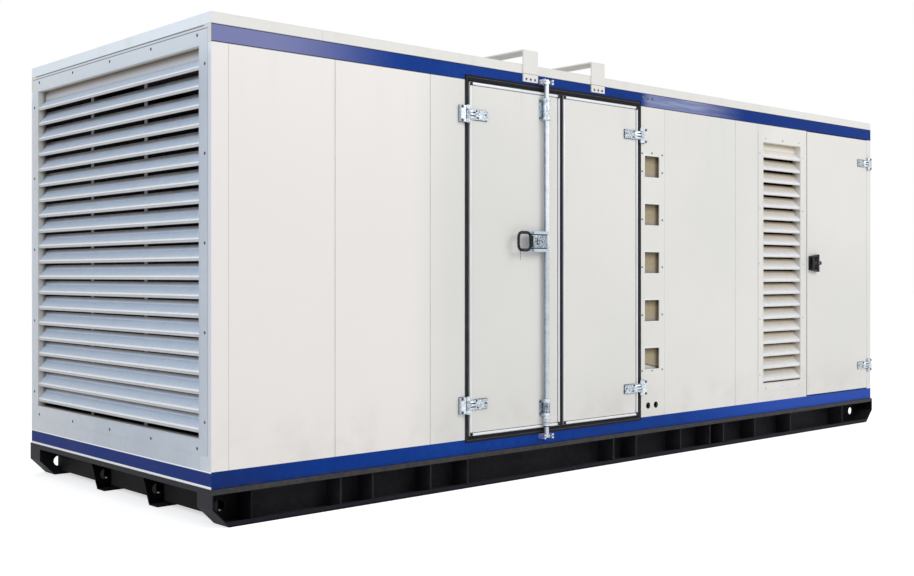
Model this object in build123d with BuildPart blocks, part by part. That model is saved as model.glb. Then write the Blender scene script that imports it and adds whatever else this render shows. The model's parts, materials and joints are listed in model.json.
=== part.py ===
import math
import os

from build123d import *

# Frame: X along the length (louvred end at -X), Y across (door side at -Y), Z up from the ground.

# Overall canopy and skid
length = 6058.0
width = 2100.0
skid_end_proud = 3.0
skid_side_proud = 12.0
skid_height = 186.0

# Heights of the canopy bands
lower_band_height = 82.0
wall_height = 2016.0
upper_band_height = 85.0
roof_thickness = 56.0
roof_chamfer = 5.0

# Wall build
wall = 50.0
frame_depth = 65.0
seam = 1.0
seam_chamfer = 3.0
post_width = 91.0
hinge_post_width = 60.0

# Skid rails: lipped channels that open outwards
rail_depth = 138.0
rail_web = 8.0
rail_plate = 6.0
rail_lip = 25.0
rail_end_drop = 91.0
lift_hole_radius = 29.0
lift_hole_from_end = 113.0
lift_hole_height = 81.0
stiffener_plate = 10.0
stiffeners_from_left = (224.0, 749.0, 954.0, 1351.0, 1623.0, 2868.0)
stiffeners_from_right = (2976.0, 2511.0, 2184.0, 2028.0, 1648.0, 1184.0, 448.0)

# Inner rails, cross members and floor
inner_rail_offset = 305.0
inner_rail_flange = 90.0
inner_rail_setback = 25.0
inner_rail_rake = 45.0
cross_member_height = 150.0
cross_member_flange = 60.0
cross_member_plate = 6.0
cross_member_count = 7
cross_member_setback = 140.0
floor_plate_thickness = 6.0
floor_lip = 26.0

# Seams of the long sides: the first two from the louvred end, the last two from the other end
first_panel_end = 710.0
second_panel_end = 1345.0
plain_panel_from_right = 1878.0
louvre_panel_from_right = 1600.0

# Double doorway, placed from the louvred end
door_frame_start = 1599.0
door_frame_span = 1533.0
left_bar = 24.0
right_bar = 35.0
door_sill = 15.0
door_head = 7.0
gasket_sheet = 3.0
gasket_above = 29.0
gasket_below = 17.0
door_gap = 5.0
meeting_gap = 8.0
meeting_strip_width = 25.0
meeting_from_frame = 769.0
leaf_thickness = 50.0
leaf_proud = 6.0
trim_width = 14.0
trim_thickness = 4.0
seal_reach = 20.0
seat_gap = 0.3

# Hinges
pivot_from_leaf = 24.0
knuckle_radius = 12.0
hinge_pin_radius = 6.0
knuckle_gap = 4.0
blade_height = 56.0
blade_plate = 6.0
blade_reach = 156.0
bracket_height = 92.0
bracket_start = 18.0
bracket_end = 52.0
hinge_inset = 194.0

# Lock rod, its keepers and its lever
rod_from_meeting = 144.0
rod_radius = 14.0
tube_radius = 17.0
collar_radius = 22.0
collar_thickness = 14.0
collar_rises = (36.0, 58.0)
rod_standoff = 30.0
rod_clearance = 0.3
rod_below_keeper = 7.0
rod_above_keeper = 15.0
cam_reach = 20.0
cam_depth = 20.0
cam_thickness = 18.0
keeper_plate = 4.0
keeper_height = 28.0
keeper_gap = 7.0
keeper_cheek = 12.0
keeper_reach = 52.0
lower_keeper_drop = 32.0
upper_keeper_rise = 48.0
bearing_width = 82.0
bearing_lug = 20.0
lower_bearing_rise = 84.0
lower_bearing_height = 103.0
upper_bearing_drop = 48.0
upper_bearing_height = 131.0
lever_height = 120.0
lever_rise = 1118.0
lever_length = 150.0
lever_plate = 4.0
lever_rib = 17.0
lever_depth = 16.0
lever_behind_rod = 2.0
lever_hub_height = 70.0
lever_hub_lap = 12.0
grip_length = 98.0
grip_seat = 24.0
grip_bar = 13.0
grip_inner_bar = 28.0
grip_thickness = 14.0
grip_corner = 30.0
rest_width = 70.0
rest_height = 76.0

# Port column, next to the double doorway
port_plate_width = 246.0
port_plate_sheet = 6.0
port_from_plate_end = 54.0
port_width = 151.0
port_height = 137.0
port_pitch = 313.0
port_count = 5
port_drop = 319.0
port_liner_depth = 42.0
port_liner_sheet = 20.0
cable_hole_radius = 15.0
cable_hole_rise = 72.0
cable_holes_from_plate_end = (170.0, 91.0)

# Side louvre
side_louvre_from_right = 1539.0
side_louvre_width = 493.0
side_louvre_sill = 134.0
side_louvre_head = 126.0
side_louvre_flange = 60.0
side_blade_drop = 112.0
side_blade_pitch = 90.7

# End louvre
end_louvre_margin = 105.0
end_louvre_sill = 147.0
end_louvre_head = 8.0
end_louvre_flange = 75.0
end_blade_drop = 114.0
end_blade_pitch = 90.5
louvre_sheet = 4.0
louvre_flange_sheet = 3.0
louvre_depth = 60.0

# Louvre blades
blade_sheet = 3.0
blade_lip = 16.0
blade_slope = 44.0
blade_upstand = 20.0
mullion_width = 30.0
mullion_thickness = 5.0
mullion_count = 2

# End door
end_door_from_right = 958.0
end_door_proud = 2.0
end_door_sill_gap = 9.0
end_pivot_from_leaf = 10.0
end_bracket_start = 14.0
end_bracket_end = 50.0
lock_from_leaf_edge = 18.0
lock_length = 92.0
lock_short_side = 100.0
lock_tall_side = 138.0
lock_rise = 1012.0
lock_thickness = 18.0
paddle_pivot_inset = 14.0
paddle_barrel_radius = 6.0
paddle_length = 60.0
paddle_height = 76.0
paddle_thickness = 8.0
paddle_gap = 3.0
nub_radius = 11.0
nub_length = 24.0

# Roof portals
portals_from_left = (2113.5, 2710.0)
portal_width = 122.0
portal_sheet = 8.0
portal_above_roof = 84.0
portal_foot_rise = 39.0

# Roof and right-end joints
roof_seam_from_left = 630.0
roof_seam_from_right = 2714.0
right_end_panel_count = 3

# Worked-out places shared by the pieces
half_length = length / 2
half_width = width / 2
skid_half_length = half_length + skid_end_proud
skid_half_width = half_width + skid_side_proud
web_outer = skid_half_width - rail_depth + rail_web
web_inner = web_outer - rail_web
wall_bottom = skid_height + lower_band_height
wall_top = wall_bottom + wall_height
band_top = wall_top + upper_band_height
roof_top = band_top + roof_thickness
portal_top = roof_top + portal_above_roof
portal_foot = wall_top + portal_foot_rise
front_face = -half_width
frame_back = half_width - frame_depth
panel_seams = (-half_length + first_panel_end, -half_length + second_panel_end)
plain_panel_seam = half_length - plain_panel_from_right
louvre_panel_left = half_length - louvre_panel_from_right
door_frame_left = -half_length + door_frame_start
door_frame_right = door_frame_left + door_frame_span
port_plate_right = door_frame_right + port_plate_width
leaf_front = front_face - leaf_proud
leaf_back = leaf_front + leaf_thickness
trim_face = leaf_front - trim_thickness
opening_left = door_frame_left + left_bar
opening_right = door_frame_right - right_bar
opening_bottom = wall_bottom + door_sill
opening_top = wall_top - door_head
meeting_place = door_frame_left + meeting_from_frame
left_leaf_span = (opening_left + door_gap, meeting_place - meeting_gap)
right_leaf_span = (meeting_place + meeting_strip_width, opening_right - door_gap)
leaf_heights = (opening_bottom + door_gap, opening_top - door_gap)
rod_place = meeting_place - rod_from_meeting
rod_face = front_face - rod_standoff
hinge_heights = (wall_bottom + hinge_inset, wall_top - hinge_inset)
left_pivot = left_leaf_span[0] - pivot_from_leaf
right_pivot = right_leaf_span[1] + pivot_from_leaf
hinge_axis = trim_face - knuckle_radius
hinge_post_left = half_length - hinge_post_width
end_door_left = half_length - end_door_from_right
end_leaf_span = (end_door_left + meeting_gap, hinge_post_left - door_gap)
end_leaf_heights = (wall_bottom + end_door_sill_gap, wall_top - door_gap)
end_leaf_front = front_face - end_door_proud
end_leaf_back = end_leaf_front + leaf_thickness
end_pivot = end_leaf_span[1] + end_pivot_from_leaf
end_hinge_axis = end_leaf_front - knuckle_radius
panel_heights = (wall_bottom, wall_top)
end_louvre_side = half_width - end_louvre_margin
end_louvre_bottom = wall_bottom + end_louvre_sill
end_louvre_top = wall_top - end_louvre_head
side_louvre_left = half_length - side_louvre_from_right
side_louvre_right = side_louvre_left + side_louvre_width
side_louvre_bottom = wall_bottom + side_louvre_sill
side_louvre_top = wall_top - side_louvre_head
louvre_edge = end_louvre_side + louvre_sheet
post_depth = half_width - louvre_edge
lower_keeper_middle = wall_bottom - lower_keeper_drop
upper_keeper_middle = wall_top + upper_keeper_rise
rod_bottom = lower_keeper_middle - rod_below_keeper
rod_top = upper_keeper_middle + rod_above_keeper
lower_bearing = (wall_bottom + lower_bearing_rise, wall_bottom + lower_bearing_rise + lower_bearing_height)
upper_bearing = (wall_top - upper_bearing_drop - upper_bearing_height, wall_top - upper_bearing_drop)
lever_middle = wall_bottom + lever_rise
lever_back = rod_face - rod_radius - lever_behind_rod
lever_plate_face = lever_back - lever_plate
lever_start = rod_place - rod_radius
lever_end = lever_start - lever_length
grip_start = lever_end + grip_seat
grip_end = grip_start - grip_length


def block(x_span, y_span, z_span, mode=Mode.ADD):
    """Rectangular block between three pairs of limits."""
    with BuildSketch(Plane.XY.offset(min(z_span))) as base:
        with Locations(((x_span[0] + x_span[1]) / 2, (y_span[0] + y_span[1]) / 2)):
            Rectangle(abs(x_span[1] - x_span[0]), abs(y_span[1] - y_span[0]))
    extrude(base.sketch, amount=abs(z_span[1] - z_span[0]), mode=mode)


def ring(x_span, z_span, x_hole, z_hole, y_from, y_to):
    """Flat rectangular ring that stands in the XZ plane, between y_from and y_to."""
    with BuildSketch(Plane.XZ.offset(-max(y_from, y_to))) as face:
        with Locations(((x_span[0] + x_span[1]) / 2, (z_span[0] + z_span[1]) / 2)):
            Rectangle(x_span[1] - x_span[0], z_span[1] - z_span[0])
        with Locations(((x_hole[0] + x_hole[1]) / 2, (z_hole[0] + z_hole[1]) / 2)):
            Rectangle(x_hole[1] - x_hole[0], z_hole[1] - z_hole[0], mode=Mode.SUBTRACT)
    extrude(face.sketch, amount=abs(y_to - y_from))


def upright(x, y, radius, z_span, mode=Mode.ADD):
    """Round bar that stands along Z."""
    with BuildSketch(Plane.XY.offset(z_span[0])) as base:
        with Locations((x, y)):
            Circle(radius)
    extrude(base.sketch, amount=z_span[1] - z_span[0], mode=mode)


def cassette(x_span, side, z_span=panel_heights):
    """Wall panel whose outer upright edges are folded back, so that two of them make a V seam."""
    outer = side * half_width
    inner = side * (half_width - wall)
    with BuildSketch(Plane.XY.offset(z_span[0])) as plan:
        with Locations(((x_span[0] + x_span[1]) / 2, (outer + inner) / 2)):
            Rectangle(x_span[1] - x_span[0] - seam, wall)
        folds = plan.vertices().group_by(Axis.Y)[0 if side < 0 else -1]
        chamfer(folds, length=seam_chamfer)
    extrude(plan.sketch, amount=z_span[1] - z_span[0])


def blade_section(front, lip_bottom, inward):
    """Outline of a Z-shaped blade: lip, slope that rises inwards, then a short upstand."""
    thick = blade_sheet
    lip_top = lip_bottom + blade_lip
    back = front + inward * blade_slope
    slope_top = lip_top + blade_slope
    return [
        (front, lip_bottom),
        (front, lip_top),
        (back - inward * thick, slope_top),
        (back - inward * thick, slope_top + blade_upstand),
        (back, slope_top + blade_upstand),
        (back, slope_top - thick / 2),
        (front + inward * thick, lip_top - thick / 2),
        (front + inward * thick, lip_bottom),
    ]


def blade_along_x(x_span, front, inward, lip_bottom):
    """Blade of a louvre in a long wall."""
    with BuildSketch(Plane.YZ.offset(x_span[0])) as section:
        Polygon(*blade_section(front, lip_bottom, inward), align=None)
    extrude(section.sketch, amount=x_span[1] - x_span[0])


def blade_along_y(y_span, front, inward, lip_bottom):
    """Blade of a louvre in an end wall."""
    with BuildSketch(Plane.XZ.offset(-y_span[1])) as section:
        Polygon(*blade_section(front, lip_bottom, inward), align=None)
    extrude(section.sketch, amount=y_span[1] - y_span[0])


def rail_outline(inset):
    """Side view of a skid rail with both lower corners cut at 45 degrees, its ends inset."""
    far = skid_half_length - inset
    corner = rail_end_drop + inset * (math.sqrt(2) - 1)
    foot = skid_half_length - rail_end_drop - inset * math.sqrt(2)
    return [(-far, skid_height), (far, skid_height), (far, corner), (foot, 0), (-foot, 0), (-far, corner)]


def rail(side):
    """Lipped channel with its web inboard, mitred ends and a lifting hole near each end."""
    with BuildSketch(Plane.YZ) as section:
        with Locations((side * (web_inner + skid_half_width) / 2, skid_height / 2)):
            Rectangle(rail_depth, skid_height)
        pocket = rail_depth - rail_web - rail_plate
        with Locations((side * (web_outer + pocket / 2), skid_height / 2)):
            Rectangle(pocket, skid_height - 2 * rail_plate, mode=Mode.SUBTRACT)
        with Locations((side * (skid_half_width - rail_plate / 2), skid_height / 2)):
            Rectangle(rail_plate, skid_height - 2 * rail_lip, mode=Mode.SUBTRACT)
    extrude(section.sketch, amount=skid_half_length, both=True)
    with BuildSketch(Plane.XZ) as outline:
        Polygon(*rail_outline(rail_plate), align=None)
    extrude(outline.sketch, amount=2 * width, both=True, mode=Mode.INTERSECT)
    with BuildSketch(Plane.XZ) as holes:
        with Locations(
            (-skid_half_length + lift_hole_from_end, lift_hole_height),
            (skid_half_length - lift_hole_from_end, lift_hole_height),
        ):
            Circle(lift_hole_radius)
    extrude(holes.sketch, amount=2 * width, both=True, mode=Mode.SUBTRACT)


def hinge_blade(pivot, axis_y, leafward, middle):
    """Blade bolted to a leaf, ending in the hinge's middle knuckle."""
    half = blade_height / 2
    upright(pivot, axis_y, knuckle_radius, (middle - half, middle + half))
    plate_back = axis_y + knuckle_radius
    block(
        (pivot, pivot + leafward * blade_reach),
        (plate_back - blade_plate, plate_back),
        (middle - half, middle + half),
    )
    bore = hinge_pin_radius + seat_gap
    upright(pivot, axis_y, bore, (middle - half, middle + half), mode=Mode.SUBTRACT)


def hinge_bracket(pivot, axis_y, leafward, middle, start, end):
    """Fixed bracket with two outer knuckles and the pin that carries the blade."""
    tall = bracket_height / 2
    inner = blade_height / 2 + seat_gap
    block(
        (pivot - leafward * start, pivot - leafward * end),
        (front_face - blade_plate, front_face),
        (middle - tall, middle + tall),
    )
    block(
        (pivot - leafward * (knuckle_radius + knuckle_gap), pivot - leafward * end),
        (axis_y, front_face - blade_plate),
        (middle - inner, middle + inner),
    )
    for low, high in ((middle - tall, middle - inner), (middle + inner, middle + tall)):
        upright(pivot, axis_y, knuckle_radius, (low, high))
        block(
            (pivot, pivot - leafward * end),
            (axis_y, front_face - blade_plate),
            (low, high),
        )
    upright(pivot, axis_y, hinge_pin_radius, (middle - tall, middle + tall))


def keeper(middle):
    """Keeper on a band: a plate with a cheek on each side of the cam."""
    low = middle - keeper_height / 2
    high = middle + keeper_height / 2
    reach = cam_reach + keeper_gap
    far = reach + keeper_cheek
    block((rod_place - far, rod_place + far), (front_face - keeper_plate, front_face), (low, high))
    for sign in (-1, 1):
        block(
            (rod_place + sign * reach, rod_place + sign * far),
            (front_face - keeper_reach, front_face - keeper_plate),
            (low, high),
        )


def rod_bearing(low, high):
    """Bracket on the leaf with two lugs that the lock rod turns in."""
    half = bearing_width / 2
    block((rod_place - half, rod_place + half), (trim_face, leaf_front), (low, high))
    for bottom in (low, high - bearing_lug):
        block(
            (rod_place - half / 2, rod_place + half / 2),
            (rod_face, trim_face),
            (bottom, bottom + bearing_lug),
        )
        upright(rod_place, rod_face, half / 2, (bottom, bottom + bearing_lug))
    upright(rod_place, rod_face, rod_radius + rod_clearance, (low, high), mode=Mode.SUBTRACT)


def lock_rod_shape():
    """Lock rod with a two-lobed cam at each end, two collars and the channel-shaped lever at its middle."""
    upright(rod_place, rod_face, rod_radius, (rod_bottom, rod_top))
    tube_heights = (lower_bearing[1] + door_gap, upper_bearing[0] - door_gap)
    upright(rod_place, rod_face, tube_radius, tube_heights)
    for rise in collar_rises:
        low = wall_bottom + rise
        upright(rod_place, rod_face, collar_radius, (low, low + collar_thickness))
    for middle in (lower_keeper_middle, upper_keeper_middle):
        block(
            (rod_place - cam_reach, rod_place + cam_reach),
            (rod_face - cam_depth / 2, rod_face + cam_depth / 2),
            (middle - cam_thickness / 2, middle + cam_thickness / 2),
        )
    block(
        (lever_start - lever_hub_lap, rod_place + rod_radius),
        (lever_back, rod_face),
        (lever_middle - lever_hub_height / 2, lever_middle + lever_hub_height / 2),
    )
    tall = lever_height / 2
    block(
        (lever_end, lever_start),
        (lever_plate_face, lever_back),
        (lever_middle - tall, lever_middle + tall),
    )
    for low in (lever_middle - tall, lever_middle + tall - lever_rib):
        block(
            (grip_start, lever_start),
            (lever_plate_face - lever_depth, lever_plate_face),
            (low, low + lever_rib),
        )


def double_door_frame():
    """Two jambs, head and sill of the double doorway, a hair apart at the corners."""
    inner = (opening_left + seam / 2, opening_right - seam / 2)
    block((door_frame_left, opening_left), (front_face, -frame_back), panel_heights)
    block((opening_right, door_frame_right), (front_face, -frame_back), panel_heights)
    block(inner, (front_face, -frame_back), (wall_bottom, opening_bottom))
    block(inner, (front_face, -frame_back), (opening_top, wall_top))


def double_door_seals():
    """Rubber sheet on the face of the frame, and the strip that the leaves close on."""
    ring(
        (door_frame_left, door_frame_right),
        (wall_bottom - gasket_below, wall_top + gasket_above),
        (opening_left, opening_right),
        (opening_bottom, opening_top),
        front_face - gasket_sheet,
        front_face,
    )
    ring(
        (opening_left, opening_right),
        (opening_bottom, opening_top),
        (opening_left + seal_reach, opening_right - seal_reach),
        (opening_bottom + seal_reach, opening_top - seal_reach),
        leaf_back + seat_gap,
        -frame_back,
    )


def leaf(x_span):
    """One leaf of the double door."""
    block(x_span, (leaf_front, leaf_back), leaf_heights)


def leaf_trim(x_span):
    """Edge profile round the outer face of a leaf."""
    ring(
        x_span,
        leaf_heights,
        (x_span[0] + trim_width, x_span[1] - trim_width),
        (leaf_heights[0] + trim_width, leaf_heights[1] - trim_width),
        trim_face,
        leaf_front,
    )


def meeting_strip():
    """Rubber strip on the edge of the right leaf, where the two leaves meet."""
    block((meeting_place, right_leaf_span[0]), (front_face - gasket_sheet, leaf_back), leaf_heights)


def left_fittings():
    """Hinge blades, rod bearings and lever rest of the left leaf."""
    for middle in hinge_heights:
        hinge_blade(left_pivot, hinge_axis, 1, middle)
    rod_bearing(*lower_bearing)
    rod_bearing(*upper_bearing)
    rest_middle = (lever_end + rod_place) / 2
    block(
        (rest_middle - rest_width / 2, rest_middle + rest_width / 2),
        (lever_back + door_gap, leaf_front),
        (lever_middle - rest_height / 2, lever_middle + rest_height / 2),
    )


def right_fittings():
    """Hinge blades of the right leaf."""
    for middle in hinge_heights:
        hinge_blade(right_pivot, hinge_axis, -1, middle)


def double_door_brackets():
    """Fixed hinge brackets of the double door."""
    for middle in hinge_heights:
        hinge_bracket(left_pivot, hinge_axis, 1, middle, bracket_start, bracket_end)
        hinge_bracket(right_pivot, hinge_axis, -1, middle, bracket_start, bracket_end)


def lever_grip():
    """Rounded grip, open in the middle, seated on the free end of the lever."""
    with BuildSketch(Plane.XZ.offset(-lever_plate_face)) as face:
        with Locations(((grip_start + grip_end) / 2, lever_middle)):
            Rectangle(grip_length, lever_height)
        fillet(face.vertices().group_by(Axis.X)[0], radius=grip_corner)
        window = grip_length - grip_bar - grip_inner_bar
        with Locations((grip_end + grip_bar + window / 2, lever_middle)):
            Rectangle(window, lever_height - 2 * grip_bar, mode=Mode.SUBTRACT)
    extrude(face.sketch, amount=grip_thickness)


os.makedirs("parts", exist_ok=True)

# Skid
with BuildPart() as skid_rail_front:
    rail(-1)

with BuildPart() as skid_rail_rear:
    rail(1)

with BuildPart() as skid_stiffeners:
    with BuildSketch(Plane.XZ) as end_strips:
        Polygon(*rail_outline(0), align=None)
        Polygon(*rail_outline(rail_plate), align=None, mode=Mode.SUBTRACT)
    extrude(end_strips.sketch, amount=skid_half_width, both=True)
    block((-length, length), (-web_inner, web_inner), (-skid_height, 2 * skid_height), mode=Mode.SUBTRACT)
    stiffener_places = [skid_half_length - distance for distance in stiffeners_from_right]
    stiffener_places += [distance - skid_half_length for distance in stiffeners_from_left]
    for side in (-1, 1):
        for place in stiffener_places:
            block(
                (place - stiffener_plate, place),
                (side * web_outer, side * (skid_half_width - rail_plate)),
                (rail_plate, skid_height - rail_plate),
            )

inner_rail_top = skid_height - floor_plate_thickness
inner_rail_half = skid_half_length - inner_rail_setback
with BuildPart() as skid_inner_rails:
    for side in (-1, 1):
        with BuildSketch(Plane.YZ) as channel:
            with Locations((side * inner_rail_offset - inner_rail_flange / 2, inner_rail_top / 2)):
                Rectangle(inner_rail_flange, inner_rail_top)
            with Locations((side * inner_rail_offset - inner_rail_flange / 2 - rail_web, inner_rail_top / 2)):
                Rectangle(inner_rail_flange, inner_rail_top - 2 * rail_plate, mode=Mode.SUBTRACT)
        extrude(channel.sketch, amount=inner_rail_half, both=True)
    with BuildSketch(Plane.XZ) as raked:
        Polygon(
            (-inner_rail_half, inner_rail_top),
            (inner_rail_half, inner_rail_top),
            (inner_rail_half - inner_rail_rake, 0),
            (-inner_rail_half + inner_rail_rake, 0),
            align=None,
        )
    extrude(raked.sketch, amount=width, both=True, mode=Mode.INTERSECT)
    with BuildSketch(Plane.XZ) as rail_holes:
        with Locations(
            (-skid_half_length + lift_hole_from_end, lift_hole_height),
            (skid_half_length - lift_hole_from_end, lift_hole_height),
        ):
            Circle(lift_hole_radius)
    extrude(rail_holes.sketch, amount=width, both=True, mode=Mode.SUBTRACT)

cross_span = skid_half_length - cross_member_setback
cross_pitch = 2 * cross_span / (cross_member_count - 1)
cross_bays = (
    (-web_inner, -inner_rail_offset - inner_rail_flange),
    (-inner_rail_offset, inner_rail_offset - inner_rail_flange),
    (inner_rail_offset, web_inner),
)
with BuildPart() as skid_cross_members:
    for number in range(cross_member_count):
        front = -cross_span + number * cross_pitch
        for start, end in cross_bays:
            with BuildSketch(Plane.XZ.offset(-end)) as channel:
                middle = inner_rail_top - cross_member_height / 2
                with Locations((front, middle)):
                    Rectangle(cross_member_flange, cross_member_height)
                with Locations((front + cross_member_plate, middle)):
                    Rectangle(
                        cross_member_flange,
                        cross_member_height - 2 * cross_member_plate,
                        mode=Mode.SUBTRACT,
                    )
            extrude(channel.sketch, amount=end - start)

with BuildPart() as floor_plate:
    block(
        (-skid_half_length, skid_half_length),
        (-web_inner, web_inner),
        (inner_rail_top, skid_height),
    )
    for end in (-1, 1):
        block(
            (end * (skid_half_length - floor_plate_thickness), end * skid_half_length),
            (-web_inner, web_inner),
            (skid_height - floor_lip, inner_rail_top),
        )

# Blue bands
with BuildPart() as lower_bands:
    for side in (-1, 1):
        block(
            (-half_length, half_length),
            (side * frame_back, side * half_width),
            (skid_height, wall_bottom),
        )
        block(
            (side * (half_length - frame_depth), side * half_length),
            (-frame_back + seam / 2, frame_back - seam / 2),
            (skid_height, wall_bottom),
        )

with BuildPart() as upper_bands:
    for side in (-1, 1):
        block(
            (-half_length, half_length),
            (side * frame_back, side * half_width),
            (wall_top, band_top),
        )

# Posts and the walls of the door side
with BuildPart() as corner_posts:
    for side in (-1, 1):
        y_span = (side * (half_width - post_depth), side * half_width)
        block((-half_length, -half_length + post_width), y_span, panel_heights)
        block((hinge_post_left, half_length), y_span, panel_heights)

post_seam = -half_length + post_width
with BuildPart() as panel_left_outer:
    cassette((post_seam, panel_seams[0]), -1)

with BuildPart() as panel_left_middle:
    cassette((panel_seams[0], panel_seams[1]), -1)

with BuildPart() as panel_left_narrow:
    cassette((panel_seams[1], door_frame_left), -1)

with BuildPart() as panel_right_wide:
    cassette((port_plate_right, plain_panel_seam), -1)

with BuildPart() as panel_right_narrow:
    cassette((plain_panel_seam, louvre_panel_left), -1)

port_left = port_plate_right - port_from_plate_end - port_width
port_first = wall_top - port_drop - port_height / 2
port_heights = [port_first - number * port_pitch for number in range(port_count)]
cable_hole_height = wall_bottom + cable_hole_rise
cable_holes = [(port_plate_right - distance, cable_hole_height) for distance in cable_holes_from_plate_end]
with BuildPart() as port_plate:
    with BuildSketch(Plane.XZ.offset(half_width - port_plate_sheet)) as plate:
        with Locations(((door_frame_right + port_plate_right) / 2, (wall_bottom + wall_top) / 2)):
            Rectangle(port_plate_right - door_frame_right - seam, wall_height)
        with Locations(*[(port_left + port_width / 2, middle) for middle in port_heights]):
            Rectangle(port_width, port_height, mode=Mode.SUBTRACT)
        with Locations(*cable_holes):
            Circle(cable_hole_radius, mode=Mode.SUBTRACT)
    extrude(plate.sketch, amount=port_plate_sheet)

with BuildPart() as port_liner:
    with BuildSketch(Plane.XY.offset(wall_bottom)) as liner:
        depth_middle = front_face + port_plate_sheet + port_liner_depth / 2
        with Locations(((door_frame_right + port_plate_right) / 2, depth_middle)):
            Rectangle(port_plate_right - door_frame_right - seam, port_liner_depth)
        with Locations(((door_frame_right + port_plate_right) / 2, depth_middle - port_liner_sheet)):
            Rectangle(
                port_plate_right - door_frame_right - 2 * port_liner_sheet,
                port_liner_depth,
                mode=Mode.SUBTRACT,
            )
    extrude(liner.sketch, amount=wall_height)
    for low in (wall_bottom, wall_top - port_liner_sheet):
        block(
            (door_frame_right + port_liner_sheet, port_plate_right - port_liner_sheet),
            (front_face + port_plate_sheet, front_face + port_plate_sheet + port_liner_depth),
            (low, low + port_liner_sheet),
        )

# Side louvre
with BuildPart() as side_louvre_surround:
    block(
        (louvre_panel_left, side_louvre_left - louvre_sheet),
        (front_face, front_face + wall),
        panel_heights,
    )
    block(
        (side_louvre_right + louvre_sheet, end_door_left),
        (front_face, -frame_back),
        panel_heights,
    )
    for low, high in (
        (wall_bottom, side_louvre_bottom - louvre_sheet),
        (side_louvre_top + louvre_sheet, wall_top),
    ):
        block(
            (side_louvre_left - louvre_sheet + seam / 2, side_louvre_right + louvre_sheet - seam / 2),
            (front_face, front_face + wall),
            (low, high),
        )

side_louvre_x = (side_louvre_left, side_louvre_right)
side_louvre_z = (side_louvre_bottom, side_louvre_top)
with BuildPart() as side_louvre_frame:
    ring(
        (side_louvre_left - side_louvre_flange, side_louvre_right + side_louvre_flange),
        (side_louvre_bottom - side_louvre_flange, side_louvre_top + side_louvre_flange),
        side_louvre_x,
        side_louvre_z,
        front_face - louvre_flange_sheet,
        front_face,
    )
    ring(
        (side_louvre_left - louvre_sheet, side_louvre_right + louvre_sheet),
        (side_louvre_bottom - louvre_sheet, side_louvre_top + louvre_sheet),
        side_louvre_x,
        side_louvre_z,
        front_face,
        front_face + louvre_depth,
    )

blade_rise = blade_lip + blade_slope + blade_upstand
side_blade_first = side_louvre_top - side_blade_drop
side_blade_count = math.floor((side_blade_first - side_louvre_bottom) / side_blade_pitch) + 1
with BuildPart() as side_louvre_blades:
    for number in range(side_blade_count):
        blade_along_x(side_louvre_x, front_face, 1, side_blade_first - number * side_blade_pitch)
    block(
        side_louvre_x,
        (front_face + blade_slope - blade_sheet, front_face + blade_slope),
        (side_blade_first + blade_rise, side_louvre_top),
    )

# Louvred end
with BuildPart() as end_louvre_surround:
    block(
        (-half_length, -half_length + frame_depth),
        (-louvre_edge, louvre_edge),
        (wall_bottom, end_louvre_bottom - louvre_sheet),
    )
    block(
        (-half_length, -half_length + frame_depth),
        (-louvre_edge, louvre_edge),
        (end_louvre_top + louvre_sheet, wall_top),
    )
    block(
        (-half_length, -half_length + frame_depth),
        (-frame_back, frame_back),
        (wall_top, band_top),
    )

with BuildPart() as end_louvre_frame:
    with BuildSketch(Plane.YZ.offset(-half_length - louvre_flange_sheet)) as flange:
        middle = (end_louvre_bottom + end_louvre_top) / 2
        opening_height = end_louvre_top - end_louvre_bottom
        with Locations((0, middle)):
            Rectangle(
                2 * (end_louvre_side + end_louvre_flange),
                opening_height + 2 * end_louvre_flange,
            )
            Rectangle(2 * end_louvre_side, opening_height, mode=Mode.SUBTRACT)
    extrude(flange.sketch, amount=louvre_flange_sheet)
    with BuildSketch(Plane.YZ.offset(-half_length)) as reveal:
        with Locations((0, middle)):
            Rectangle(2 * louvre_edge, opening_height + 2 * louvre_sheet)
            Rectangle(2 * end_louvre_side, opening_height, mode=Mode.SUBTRACT)
    extrude(reveal.sketch, amount=louvre_depth)

end_blade_first = end_louvre_top - end_blade_drop
end_blade_count = math.floor((end_blade_first - end_louvre_bottom) / end_blade_pitch) + 1
with BuildPart() as end_louvre_blades:
    for number in range(end_blade_count):
        blade_along_y(
            (-end_louvre_side, end_louvre_side),
            -half_length,
            1,
            end_blade_first - number * end_blade_pitch,
        )
    block(
        (-half_length + blade_slope - blade_sheet, -half_length + blade_slope),
        (-end_louvre_side, end_louvre_side),
        (end_blade_first + blade_rise, end_louvre_top),
    )

mullion_pitch = 2 * end_louvre_side / (mullion_count + 1)
with BuildPart() as end_louvre_mullions:
    for number in range(mullion_count):
        place = -end_louvre_side + (number + 1) * mullion_pitch
        block(
            (-half_length + blade_slope, -half_length + blade_slope + mullion_thickness),
            (place - mullion_width / 2, place + mullion_width / 2),
            (end_louvre_bottom, end_louvre_top),
        )

# Right end wall
right_end_pitch = 2 * (half_width - post_depth) / right_end_panel_count
with BuildPart() as right_end_panels:
    for number in range(right_end_panel_count):
        start = -half_width + post_depth + number * right_end_pitch
        with BuildSketch(Plane.XY.offset(wall_bottom)) as plan:
            with Locations((half_length - wall / 2, start + right_end_pitch / 2)):
                Rectangle(wall, right_end_pitch - seam)
            chamfer(plan.vertices().group_by(Axis.X)[-1], length=seam_chamfer)
        extrude(plan.sketch, amount=wall_height)
    block(
        (half_length - frame_depth, half_length),
        (-frame_back, frame_back),
        (wall_top + seam, band_top),
    )

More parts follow.
